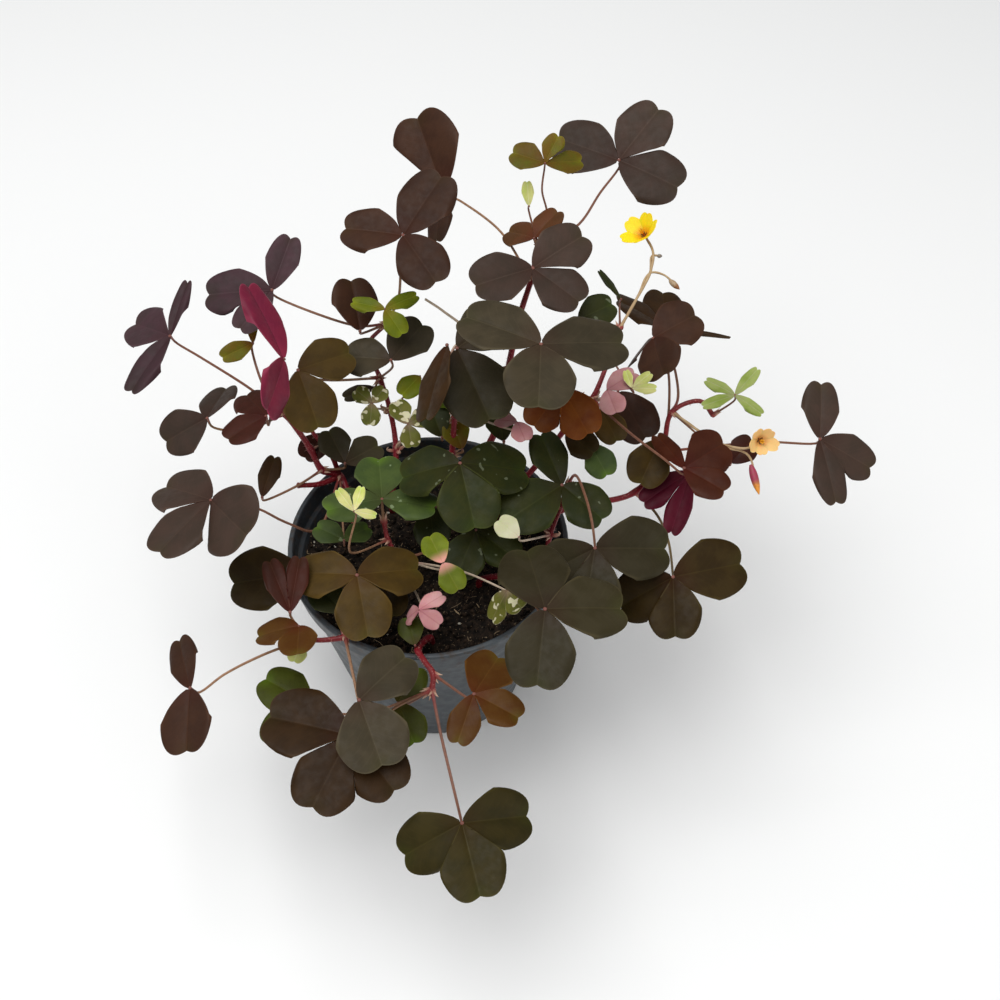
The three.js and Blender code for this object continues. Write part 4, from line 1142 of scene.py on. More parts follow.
# Dry straw, mottled brown
STRAW_SKIN = SkinFinish(
    "straw flower stalk skin", "#c6ae86", (Wash("#93704c", Source.CLOUD, lump=2.0),),
    roughness=0.55, shine=0.3, grain=0.8, strength=0.5,
)
# Chalky white grains
PERLITE_SKIN = SkinFinish(
    "expanded perlite", "#cfcabb", (Wash("#a59d8c", Source.CLOUD, lump=0.8),),
    roughness=0.9, grain=0.6, depth=0.2,
)
# Dry fibre, from brown to straw
FIBRE_SKIN = SkinFinish("dry peat fibre", "#4a3a2a", (Wash("#b39a78", Source.SHADE),), roughness=0.85)


def peat_skin(name: str, dark: str, light: str) -> SkinFinish:
    """Gives moist peat: nearly black, rough and open, with browner crumbs and pale specks.

    Args:
        name: The material's name.
        dark: Its darkest colour.
        light: Its lightest colour.

    Returns:
        The finish.
    """
    washes = (
        Wash(light, Source.CLOUD, (0.38, 0.68, 0.0, 1.0), 2.2, 5.0),
        Wash("#8d7a60", Source.CLOUD, (0.68, 0.72, 0.0, 0.7), 0.8, 1.0),
    )
    return SkinFinish(name, dark, washes, roughness=0.95, shine=0.2, grain=0.9, grain_detail=4.0, depth=0.5)


def bud_skin(name: str, sepals: str, petals: str) -> SkinFinish:
    """Gives a bud's satin skin, its rolled petals showing above its sepals.

    Args:
        name: The material's name.
        sepals: The sepals' colour.
        petals: The petals' colour.

    Returns:
        The finish.
    """
    washes = (
        Wash(petals, Source.ALONG, (0.5, 0.75, 0.0, 1.0)),
        Wash("#7a5030", Source.CLOUD, (0.4, 0.7, 0.0, 0.4), 0.9),
    )
    return SkinFinish(name, sepals, washes, grain=0.7, strength=0.6)


@dataclass(frozen=True)
class PetalFinish:
    """A thin satin petal, deeper in colour and streaked red at the throat."""

    name: str
    outer: str
    inner: str
    streak: str

    def material(self) -> Material:
        """Makes the material.

        Returns:
            The material.
        """
        paint = Palette(self.name)
        along, across = paint.leaflet_chart()
        throat = paint.ramp(along, 0.1, 0.6, 1.0, 0.0)
        colour = paint.mix(throat, self.outer, self.inner)
        row = paint.math("PINGPONG", paint.math("MULTIPLY", across, 9.0), 0.5)
        near = paint.ramp(along, 0.3, 0.55, 1.0, 0.0)
        lines = paint.math("MULTIPLY", paint.ramp(row, 0.04, 0.16, 1.0, 0.0), near)
        colour = paint.mix(lines, colour, self.streak)
        return paint.finish(
            Base_Color=colour, Roughness=0.5, Specular_IOR_Level=0.35,
            Normal=paint.bump(row, 0.08, 0.5), Subsurface_Weight=0.25, Subsurface_Scale=FLESH_SCALE,
        )


PETAL_FINISHES = {
    Tone.YELLOW: PetalFinish("thin satin petal yellow", "#f9dc14", "#f7a808", "#a8480c"),
    Tone.APRICOT: PetalFinish("thin satin petal apricot", "#eec27c", "#e0a050", "#b87440"),
}


@dataclass(frozen=True)
class LeafFinish:
    """A living leaf skin: a waxy satin film over mottled flesh, with paler veins, a painted highlight along
    its thin margin, and pale patches that are cream variegation on variegated leaves and painted glints on
    dark and mid green ones.
    """

    main: str
    second: str
    foot: str
    notch: str
    vein: str
    under: str
    notch_share: float = 0.25
    foot_share: float = 0.5
    vein_share: float = 0.14
    patch_and_glint: str = ""
    patch_and_glint_level: float = 0.5
    roughness: float = 0.5
    glow: float = 0.0
    slot: str = "leaf_green"

    def aside(self, paint: Palette, across: object) -> Socket:
        """Turns the share across a leaflet into the share from its midrib to its margin."""
        return paint.math("ABSOLUTE", paint.math("MULTIPLY_ADD", across, 2.0, -1.0))

    def veins(self, paint: Palette, along: object, aside: object) -> Socket:
        """Draws the midrib and the side veins that leave it at a slant.

        Args:
            paint: The material's nodes.
            along: Share of the way from the hub to the notch.
            aside: Share of the way from the midrib to the margin.

        Returns:
            A mask, 1 on a vein.
        """
        rib = paint.ramp(paint.attribute("rib"), 0.1, 0.34, 1.0, 0.0)
        wander = paint.math("MULTIPLY", paint.noise(5.0), 0.09)
        slant = paint.math("SUBTRACT", along, paint.math("MULTIPLY", aside, VEIN_SLANT))
        row = paint.math("MULTIPLY", paint.math("ADD", slant, wander), VEIN_COUNT)
        side = paint.ramp(paint.math("PINGPONG", row, 0.5), 0.03, 0.1, 0.55, 0.0)
        fading = paint.math("MULTIPLY", side, paint.ramp(aside, 0.55, 0.95, 1.0, 0.1))
        return paint.math("MAXIMUM", rib, paint.math("MULTIPLY", fading, 0.6))

    def flesh(self, paint: Palette, **sockets: object) -> Material:
        """Closes a leaf's material with the soft light that its flesh lets through."""
        return paint.finish(
            IOR=1.42, Subsurface_Weight=self.glow, Subsurface_Radius=(0.6, 1.0, 0.3),
            Subsurface_Scale=FLESH_SCALE, **sockets,
        )

    def upper(self, name: str) -> Material:
        """Makes the upper face's material.

        Args:
            name: The material's name.

        Returns:
            The material.
        """
        paint = Palette(name)
        along, across = paint.leaflet_chart()
        aside = self.aside(paint, across)
        cloud = paint.ramp(paint.noise(7.0, 3.0), 0.35, 0.65)
        colour = paint.mix(cloud, self.main, self.second)
        near_hub = paint.ramp(along, 0.02, 0.45, self.foot_share, 0.0)
        colour = paint.mix(near_hub, colour, self.foot)
        near_notch = paint.ramp(along, 0.74, 1.0, 0.0, self.notch_share)
        inner = paint.ramp(aside, 0.05, 0.6, 1.0, 0.0)
        colour = paint.mix(paint.math("MULTIPLY", near_notch, inner), colour, self.notch)
        # Pale patches: cream variegation on variegated leaves; on the dark and mid green leaves they are
        # painted glints
        if self.patch_and_glint:
            level = self.patch_and_glint_level
            patch_and_glint_mask = paint.ramp(paint.noise(3.2, 1.0), level, level + 0.03)
            colour = paint.mix(patch_and_glint_mask, colour, self.patch_and_glint)
        vein = self.veins(paint, along, aside)
        colour = paint.mix(paint.math("MULTIPLY", vein, self.vein_share), colour, self.vein)
        # Painted highlight: a thin paler line along the margin and at the notch end
        side_edge_highlight = paint.ramp(aside, 0.95, 1.0, 0.0, 0.3)
        end_edge_highlight = paint.ramp(along, 0.975, 1.0, 0.0, 0.3)
        colour = paint.mix(paint.math("MAXIMUM", side_edge_highlight, end_edge_highlight), colour, self.vein)
        level = paint.ramp(paint.attribute("shade"), 0.0, 1.0, 0.88, 1.14)
        tint = add_node(paint.tree, "ShaderNodeHueSaturation", {"Color": colour, "Value": level}).outputs[0]
        height = paint.math("MULTIPLY_ADD", vein, -0.5, paint.noise(0.9))
        rough = paint.ramp(paint.noise(2.5, 3.0), 0.3, 0.7, self.roughness - 0.07, self.roughness + 0.08)
        return self.flesh(
            paint, Base_Color=tint, Roughness=rough, Normal=paint.bump(height, 0.06, 0.6),
            Specular_IOR_Level=0.16,
        )

    def lower(self, name: str) -> Material:
        """Makes the duller underside's material, with its raised veins.

        Args:
            name: The material's name.

        Returns:
            The material.
        """
        paint = Palette(name)
        along, across = paint.leaflet_chart()
        vein = self.veins(paint, along, self.aside(paint, across))
        cloud = paint.ramp(paint.noise(6.0, 3.0), 0.3, 0.7, 0.0, 0.5)
        colour = paint.mix(cloud, self.under, self.main)
        colour = paint.mix(paint.math("MULTIPLY", vein, 0.35), colour, self.vein)
        return self.flesh(
            paint, Base_Color=colour, Roughness=0.62, Normal=paint.bump(vein, 0.12, 0.6),
            Specular_IOR_Level=0.12,
        )


LEAF_FINISHES = {
    Tone.PLUM: LeafFinish(
        "#382c24", "#3e2f27", "#382019", "#353112", "#604b3d", "#411e27", slot="leaf_plum"),
    Tone.PURPLE: LeafFinish(
        "#39292b", "#402a2f", "#3a1f21", "#322e18", "#5e4449", "#4e1f33", slot="leaf_plum"),
    Tone.BRONZE: LeafFinish(
        "#341f14", "#3b2417", "#39170d", "#352b0b", "#583a29", "#3f171a", slot="leaf_bronze"),
    Tone.UMBER: LeafFinish(
        "#271a02", "#2f2207", "#2b0e02", "#2d2d05", "#4a3e17", "#3b160d", slot="leaf_bronze"),
    Tone.BROWN: LeafFinish(
        "#2d1c09", "#35220d", "#341509", "#332d09", "#51391c", "#3d1716", slot="leaf_bronze"),
    Tone.OLIVE_BROWN: LeafFinish(
        "#2a2409", "#322a0d", "#302009", "#343c0b", "#524a21", "#401c18", slot="leaf_bronze"),
    Tone.KHAKI: LeafFinish(
        "#3c2c0d", "#463410", "#3c220c", "#474812", "#685226", "#472020", slot="leaf_olive"),
    Tone.GREY_GREEN: LeafFinish(
        "#352e20", "#3c3425", "#38251b", "#393c14", "#605640", "#411e2b", 0.2, slot="leaf_grey_green"),
    # Its pale flecks are painted glints
    Tone.DARK_GREEN: LeafFinish(
        "#22270b", "#2a2c0c", "#251d0a", "#34440c", "#484e1b", "#3a1b15", 0.3, patch_and_glint="#565b45",
        patch_and_glint_level=0.7, slot="leaf_dark_green"),
    Tone.MOSS: LeafFinish(
        "#2e2816", "#342e1d", "#311f17", "#393e0e", "#544a2f", "#401b22", slot="leaf_dark_green"),
    Tone.RUST: LeafFinish(
        "#4c2c0a", "#523410", "#50170c", "#58500e", "#7a582a", "#5a2614", 0.4, slot="leaf_rust"),
    Tone.ORANGE: LeafFinish(
        "#482d16", "#532f18", "#4a1a11", "#4e3c0e", "#745438", "#57291a", slot="leaf_rust"),
    Tone.CHESTNUT: LeafFinish(
        "#582602", "#643308", "#511603", "#663d06", "#8c4f14", "#661d08", slot="leaf_rust"),
    Tone.MAROON: LeafFinish(
        "#36180d", "#3e1b11", "#3f0d0c", "#372308", "#5b3120", "#4b111a", slot="leaf_rust"),
    Tone.RED_BROWN: LeafFinish(
        "#3b1504", "#421c0b", "#460b07", "#4a2809", "#632e1d", "#560e12", slot="leaf_bronze"),
    Tone.WINE: LeafFinish(
        "#440418", "#500b1f", "#4c0611", "#3e0b0f", "#77273f", "#590a23", slot="leaf_magenta"),
    Tone.MAGENTA: LeafFinish(
        "#792238", "#6b1d34", "#8a263f", "#62182b", "#b04e67", "#79183c", roughness=0.42,
        slot="leaf_magenta"),
    # Its pale flecks are painted glints
    Tone.MID_GREEN: LeafFinish(
        "#374521", "#414f24", "#353519", "#5a7919", "#657242", "#3f3d24", 0.5, patch_and_glint="#6d7a58",
        patch_and_glint_level=0.7),
    Tone.OLIVE_GREEN: LeafFinish("#36390b", "#3e440e", "#3c240c", "#4e660e", "#5f6223", "#422619", 0.6),
    Tone.OLIVE_LIME: LeafFinish(
        "#5f490f", "#57530e", "#632b0f", "#70710e", "#887129", "#654218", 0.5, glow=0.1),
    Tone.FRESH_GREEN: LeafFinish(
        "#6d700e", "#5f6a0e", "#765719", "#879312", "#a0a644", "#6c7316", 0.5, glow=0.1),
    Tone.LIME: LeafFinish(
        "#768537", "#8a9452", "#84835e", "#9aa55e", "#c2bcb3", "#c7b8a4", 0.4, glow=0.2),
    Tone.PALE_LIME: LeafFinish(
        "#b3ba61", "#cbc782", "#c7ba8f", "#b2cd48", "#f4f3e4", "#cbcd9d", 0.4, glow=0.2),
    Tone.LIME_PINK: LeafFinish(
        "#596409", "#677212", "#d69489", "#737b12", "#948d41", "#7c742f", 0.4, foot_share=1.0, glow=0.2),
    Tone.PINK: LeafFinish(
        "#b87e7f", "#c09090", "#a0636a", "#c8a19d", "#944a53", "#aa696a", 0.3, vein_share=0.3, glow=0.2),
    Tone.CREAM: LeafFinish(
        "#d2d0af", "#c6c49d", "#cab99d", "#b0b979", "#b9b98b", "#9a9e6c", 0.3, glow=0.2),
    Tone.VARIEGATED: LeafFinish(
        "#595b23", "#6c6b2c", "#9d7d71", "#697123", "#ae9e8a", "#938765", 0.3, patch_and_glint="#d3cdaa",
        patch_and_glint_level=0.6, glow=0.1),
}


@dataclass
class Foliage:
    """Every leaf: three notched leaflets that meet at a small fleshy hub.

    Sizes are in millimetres. Ripples are given for a leaflet as long as the model one and grow with it,
    and leaflets as long as the hub's have a hub of full size.
    """

    growth: Growth
    blade_thickness: float = 0.34
    young_share: float = 0.8
    hub_radius: float = 0.7
    hub_flatness: float = 0.62
    hub_leaflet: float = 20.0
    model_leaflet: float = 24.0
    ripple: float = 0.3
    gutter_depth: float = 0.22
    gutter_width: float = 0.7
    quilting: float = 0.02
    margin_drop: float = 0.03
    tip_curl: float = 0.05
    wall_gap: float = 0.12

    def __post_init__(self) -> None:
        """Models one flat leaflet for each detail, and one hub, all to be copied."""
        self.sheets = {detail: self.sheet(detail) for detail in Detail}
        self.knob = self.hub_knob()
        joint_skin = HUB_SKIN.material()
        self.skins = {
            tone: (
                look.upper(f"waxy leaf skin {tone.value}"),
                look.lower(f"dull leaf underside {tone.value}"),
                joint_skin,
            )
            for tone, look in LEAF_FINISHES.items()
        }

    def sheet(self, detail: Detail) -> Piece:
        """Models one flat leaflet whose rows close up towards the midrib.

        Args:
            detail: How finely it is divided.

        Returns:
            A grid whose X is the share along and whose Y is the share across.
        """
        rows, columns = detail.value
        model = added(
            bpy.ops.mesh.primitive_grid_add, f"leaflet_sheet_{detail.name.lower()}",
            x_subdivisions=rows, y_subdivisions=columns, size=2,
        )
        for vertex in model.data.vertices:
            x, y, _ = vertex.co
            even = math.sin(math.pi / 2 * abs(y) ** 1.2)
            vertex.co = (0.02 + 0.98 * (x + 1) / 2, math.copysign(even, y), 0.0)
        chart = model.data.uv_layers[0]
        chart.name = CHART
        for loop in model.data.loops:
            x, y, _ = model.data.vertices[loop.vertex_index].co
            chart.data[loop.index].uv = (x, (y + 1) / 2)
        return model

    def hub_knob(self) -> Piece:
        """Models the small fleshy joint where leaflets meet."""
        model = added(
            bpy.ops.mesh.primitive_uv_sphere_add, "hub_knob_model",
            segments=10, ring_count=7, radius=self.hub_radius * MM,
        )
        bpy.ops.transform.resize(value=(1.0, 1.0, self.hub_flatness))
        return rest_in_mesh(model)

    def leaflet(
        self, detail: Detail, arm: Vector, up: Vector, width: float, fold: float, droop: float, seed: int,
        walls: list[tuple[Vector, Vector]],
    ) -> Piece:
        """Copies the flat leaflet and bends the copy into its place round the hub.

        Args:
            detail: Which flat leaflet to copy.
            arm: The midrib from the hub to the notch, in millimetres.
            up: The way that the upper face looks.
            width: Its greatest width.
            fold: How far its halves rise beside the midrib.
            droop: How far its end hangs.
            seed: Picks its ripples.
            walls: The upright planes that part it from its neighbours, each as the direction that the
                plane runs in and the one that points to the leaflet.

        Returns:
            The leaflet, in metres round the hub.
        """
        piece = copied(self.sheets[detail])
        along, across, _ = points_of(piece.data).T
        length, side = arm.length, np.abs(across)
        corner = 1 - np.sqrt(1 - np.minimum(side, 1.0) ** 3.2)
        reach = LOBE_REACH * np.sin(np.pi * side**0.9) - CORNER_DROP * corner
        x = length * (along + along**2 * reach)
        y = width / 2 * across * (1 - (1 - along) ** 2) ** SIDE_POWER
        z = fold * np.abs(y) - droop * length * along**2 - self.margin_drop * width * side**2 * along
        size = length / self.model_leaflet
        waves = WAVE * (1.2 + 0.6 * vary(seed, 12)) * along + WAVE * vary(seed, 11) + 1.9 * (across > 0)
        z += self.ripple * size * side**2 * along * np.sin(waves)
        gutter = np.exp(-((y / (self.gutter_width * size)) ** 2))
        z -= self.gutter_depth * size * gutter * (1 - 0.5 * along)
        quilts = np.cos(WAVE * VEIN_COUNT * (along - VEIN_SLANT * side))
        z += self.quilting * size * quilts * 4 * side * (1 - side)
        z -= self.tip_curl * length * (0.4 + vary(seed, 13)) * np.clip(along - 0.7, 0, 1) * side
        forward = arm.normalized()
        places = np.stack([x, y, z], 1) @ np.array([forward, up.cross(forward), up])
        for heading, apart in walls:
            spare = places @ np.array(apart) - self.wall_gap
            kept = 0.5 * (spare + np.sqrt(spare**2 + 1.2 * np.minimum(along, 0.5) ** 2))
            near = np.clip(places @ np.array(heading) * 0.6, 0, 1)
            places += (near * (kept - spare))[:, None] * np.array(apart)
        piece.data.vertices.foreach_set("co", (places * MM).ravel())
        mark(piece.data, "rib", np.abs(y))
        mark(piece.data, "shade", np.full(len(y), vary(seed, 14)))
        return piece

    def walls(self, solved: SolvedLeaf) -> list[list[tuple[Vector, Vector]]]:
        """Finds the upright planes that part neighbouring leaflets.

        Args:
            solved: The leaf in the round.

        Returns:
            For each leaflet, the planes on its two sides.
        """
        arms, normal = solved.arms, solved.normal
        if len(arms) == 1:
            return [[]]
        start = (arms[0] - normal * normal.dot(arms[0])).normalized()
        turns = [math.atan2(start.cross(arm).dot(normal), start.dot(arm)) % (2 * math.pi) for arm in arms]
        turns[0] = 0.0
        order = sorted(range(len(arms)), key=lambda i: turns[i])
        found: list[list[tuple[Vector, Vector]]] = [[] for _ in arms]
        for i, j in zip(order, order[1:] + order[:1]):
            first, second = arms[i].normalized(), arms[j].normalized()
            outward = -1.0 if first.cross(second).dot(normal) < 0 else 1.0
            middle = first + second
            middle = (middle - normal * middle.dot(normal)).normalized() * outward
            apart = normal.cross(middle).normalized()
            found[i].append((middle, -apart))
            found[j].append((middle, apart))
        return found

    def plate(
        self, name: str, blades: list[Piece], skins: tuple[Material, ...],
        thickness: float,
    ) -> Piece:
        """Joins leaflets or petals and gives them a thickness.

        Args:
            name: The joined piece's name.
            blades: The leaflets or petals.
            skins: Their materials, of which the second, if there is one, goes underneath.
            thickness: Their thickness in millimetres.

        Returns:
            The joined piece.
        """
        piece = join(name, blades)
        for skin in skins:
            piece.data.materials.append(skin)
        solid = piece.modifiers.new("plate", "SOLIDIFY")
        solid.thickness = thickness * MM
        solid.offset = 0.0
        solid.material_offset = min(1, len(skins) - 1)
        bake_modifiers(piece)
        return smooth(piece, THIN_CREASE)

    def leaf(self, plan: Leaf, number: int, detail: Detail) -> Piece:
        """Builds one leaf.

        Args:
            plan: The leaf's plan.
            number: Its number, which picks its folds.
            detail: How finely its leaflets are divided.

        Returns:
            The leaf, in place.
        """
        solved = solve_leaf(self.growth.view, plan)
        blades = []
        walls = self.walls(solved)
        for i, arm in enumerate(solved.arms):
            forward = arm.normalized()
            up = (solved.normal - forward * solved.normal.dot(forward)).normalized()
            if plan.roll:
                up = turned(up, math.radians(plan.roll[i]), forward)
            fold = 0.1 + 0.14 * vary(number, i)
            droop = 0.04 + 0.08 * vary(number, i + 5)
            width = arm.length * plan.broad[i % len(plan.broad)]
            blades.append(self.leaflet(detail, arm, up, width, fold, droop, number * 7 + i, walls[i]))
        skins = self.skins[plan.tone]
        share = 1.0 if detail is Detail.LARGE else self.young_share
        piece = self.plate(f"{plan.name}_blades", blades, skins, self.blade_thickness * share)
        knob = copied(self.knob)
        knob.data.transform(aim_matrix(Vector(), solved.normal, min(1.0, plan.length / self.hub_leaflet)))
        for skin in skins:
            knob.data.materials.append(skin)
        faces = knob.data.polygons
        faces.foreach_set("use_smooth", [True] * len(faces))
        faces.foreach_set("material_index", [HUB_MATERIAL] * len(faces))
        piece = join(piece.name, [piece, knob])
        piece.data.transform(Matrix.Translation(solved.hub * MM))
        return piece

    def build(self) -> None:
        """Builds all the leaves, large and young."""
        for number, plan in enumerate(LEAVES):
            piece = self.leaf(plan, number, Detail.LARGE)
            settle(piece, plan.slot or LEAF_FINISHES[plan.tone].slot, plan.name)
        grown: dict[str, int] = {}
        for plan in YOUNG_LEAVES:
            stem = plan.on[0]
            number = grown.get(stem, 0)
            grown[stem] = number + 1
            settle(self.leaf(plan, number, Detail.YOUNG), LEAF_FINISHES[plan.tone].slot, stem)
        for model in (*self.sheets.values(), self.knob):
            discard(model)


@dataclass
class StemWork:
    """The main stems, the leaf stalks on them, their sheaths and their fine hairs, in millimetres."""

    growth: Growth
    petiole_radius: float = 0.5
    young_length: float = 13.0
    young_share: float = 0.8
    stem_taper: float = 0.38
    knobbliness: float = 0.05
    hair_length: float = 1.1
    hair_radius: float = 0.05
    hairs_per_mm: float = 2.6
    flap_radii: tuple[float, ...] = (0.75, 0.8, 0.68, 0.52, 0.36, 0.2, 0.05)
    bract_radii: tuple[float, ...] = (0.4, 0.6, 0.75, 0.8, 0.75, 0.65, 0.5, 0.36, 0.2, 0.08)

    def stem_run(self, plan: Stem) -> Run:
        """Gives a main stem that swells a little at each joint.

        Args:
            plan: The stem's plan.

        Returns:
            The stem's run.
        """
        points = smooth_line(self.growth.stem_points(plan), STEM_STEPS)
        joints = [self.growth.joint(leaf.on) for leaf in ALL_LEAVES if leaf.on[0] == plan.name]
        radii = []
        for k, point in enumerate(points):
            radius = plan.radius * (1 - self.stem_taper * k / STEM_STEPS)
            nearest = min((point - joint).length for joint in joints)
            wobble = self.knobbliness * noise.noise(point * 0.25)
            radii.append(radius * (1 + 0.24 * math.exp(-((nearest / 1.8) ** 2)) + wobble))
        return Run(points, radii)

    def branch_run(self, plan: Stalk) -> Run:
        """Gives a side branch that ends in a swollen joint.

        Args:
            plan: The branch's plan.

        Returns:
            The branch's run.
        """
        run = self.growth.stalk_run(plan, STALK_STEPS)
        for k, point in enumerate(run.points):
            swelling = 0.3 * math.exp(-(((1 - k / STALK_STEPS) / 0.07) ** 2))
            run.radii[k] += swelling + self.knobbliness * noise.noise(point * 0.25)
        run.radii[-1] *= 0.6
        return run

    def petiole_run(self, plan: Leaf, number: int) -> Run:
        """Gives a leaf's stalk: a swollen foot, a slim middle and a small joint at its tip.

        Args:
            plan: The leaf's plan.
            number: Picks its shade.

        Returns:
            The stalk's run.
        """
        points = smooth_line(self.growth.petiole(plan), PETIOLE_STEPS)
        radius = self.petiole_radius * (self.young_share if plan.length < self.young_length else 1.0)
        reach = sum((b - a).length for a, b in zip(points, points[1:]))
        radii = []
        for k in range(len(points)):
            share = k / PETIOLE_STEPS
            foot = 0.8 * math.exp(-((reach * share / 2.2) ** 2))
            tip = 0.25 * math.exp(-((reach * (1 - share) / 1.2) ** 2))
            radii.append(radius * (1.12 - 0.22 * share + foot + tip))
        return Run(points, radii, vary(number, 21))

    def sheath_runs(self, points: list[Vector], number: int) -> list[Run]:
        """Gives the two short pointed flaps that clasp a leaf stalk's foot.

        Args:
            points: The leaf stalk's places.
            number: Picks their lengths and turns.

        Returns:
            Two runs.
        """
        foot = points[0]
        heading = (points[3] - foot).normalized()
        side = turned(heading.orthogonal().normalized(), WAVE * vary(number, 41), heading)
        runs = []
        for sign in (-1, 1):
            reach = 2.6 + 2.0 * vary(number, 43 + sign)
            out = side * sign
            line = [
                foot - heading * 0.6 + out * 0.4, foot + heading * reach * 0.5 + out,
                foot + heading * reach + out * (1.1 + vary(number, 45)),
            ]
            runs.append(Run.through(line, self.flap_radii, vary(number, 47)))
        return runs

    def bract_runs(self, joint: Vector, number: int) -> list[Run]:
        """Gives three bracts that curl up and outwards from a young joint.

        Args:
            joint: The joint's place.
            number: Picks their turns.

        Returns:
            Three runs.
        """
        runs = []
        for k in range(3):
            turn = 2.1 * k + 3.0 * vary(number, 61 + k)
            out = Vector((math.cos(turn), math.sin(turn), 0.2))
            shape = ((0.0, 0.0), (2.0, 0.0), (3.6, 1.0), (3.0, 2.4))
            line = [joint + out * reach + Vector((0, 0, rise)) for reach, rise in shape]
            runs.append(Run.through(line, self.bract_radii, vary(number, 65)))
        return runs

    def hairs(self, runs: list[Run]) -> Piece:
        """Stands fine hairs on the main stems, denser towards the tips.

        Args:
            runs: The stems.

        Returns:
            All the hairs as one piece.
        """
        model = added(
            bpy.ops.mesh.primitive_cone_add, "hair_model",
            vertices=3, radius1=self.hair_radius * MM, depth=MM,
        )
        bpy.ops.transform.translate(value=(0.0, 0.0, MM / 2))
        rest_in_mesh(model)
        draw = random.Random(5)
        places = []
        for run in runs:
            reach = sum((b - a).length for a, b in zip(run.points, run.points[1:]))
            for _ in range(int(reach * self.hairs_per_mm)):
                share = 0.2 + 0.8 * draw.random() ** 0.9
                k = min(int(share * (len(run.points) - 1)), len(run.points) - 2)
                tangent = (run.points[k + 1] - run.points[k]).normalized()
                base = run.points[k].lerp(run.points[k + 1], draw.random())
                outward = turned(tangent.orthogonal().normalized(), draw.uniform(0, TURN), tangent)
                lean = (outward + tangent * draw.uniform(-0.1, 0.6)).normalized()
                tall = self.hair_length * draw.uniform(0.5, 1.15)
                spot = (base + outward * run.radii[k] * 0.92) * MM
                places.append(aim_matrix(spot, lean, (1.0, 1.0, tall)))
        return scatter("stem_hairs", model, places)

    def build(self) -> None:
        """Builds every stem with its branches, sheaths and leaf stalks, then the hairs."""
        skins = [look.material() for look in (STEM_SKIN, SHEATH_SKIN, STALK_SKIN, MILKY_STALK_SKIN)]
        number = 0
        hairy: list[Run] = []
        for plan in STEMS:
            stems = [self.stem_run(plan)]
            stems += [self.branch_run(branch) for branch in BRANCHES if branch.on[0] == plan.name]
            hairy += stems
            flaps, stalks, milky = [], [], []
            for leaf in ALL_LEAVES:
                if leaf.on[0] == plan.name:
                    stalk = self.petiole_run(leaf, number)
                    flaps += self.sheath_runs(stalk.points, number)
                    if leaf.tone in PALE_STALKED:
                        milky.append(stalk)
                        flaps += self.bract_runs(stalk.points[0], number)
                    else:
                        stalks.append(stalk)
                    number += 1
            spent = [stalk for stalk in SPENT_STALKS if stalk.on[0] == plan.name]
            milky += [self.growth.stalk_run(stalk, SPENT_STEPS) for stalk in spent]
            parts = (
                ("skin", stems, 3), ("sheaths", flaps, 1),
                ("leaf_stalks", stalks, 1), ("pale_stalks", milky, 1),
            )
            for (part, runs, resolution), skin in zip(parts, skins):
                if runs:
                    dress(tubes(f"{plan.name}_{part}", runs, resolution), skin, "red_stem", plan.name)
        dress(self.hairs(hairy), HAIR_SKIN.material(), "red_stem")


@dataclass(frozen=True)
class Bud:
    """A closed bud: its length and greatest radius in millimetres, and its two colours."""

    reach: float
    thick: float
    sepals: str
    petals: str


BUDS = {
    "flower_bud": Bud(5.4, 1.15, "#a89070", "#8c5a30"),
    "side_bud": Bud(2.0, 0.8, "#8a8274", "#6e6458"),
    "spent_bud": Bud(11.5, 1.55, "#9c2c4c", "#e0902c"),
}


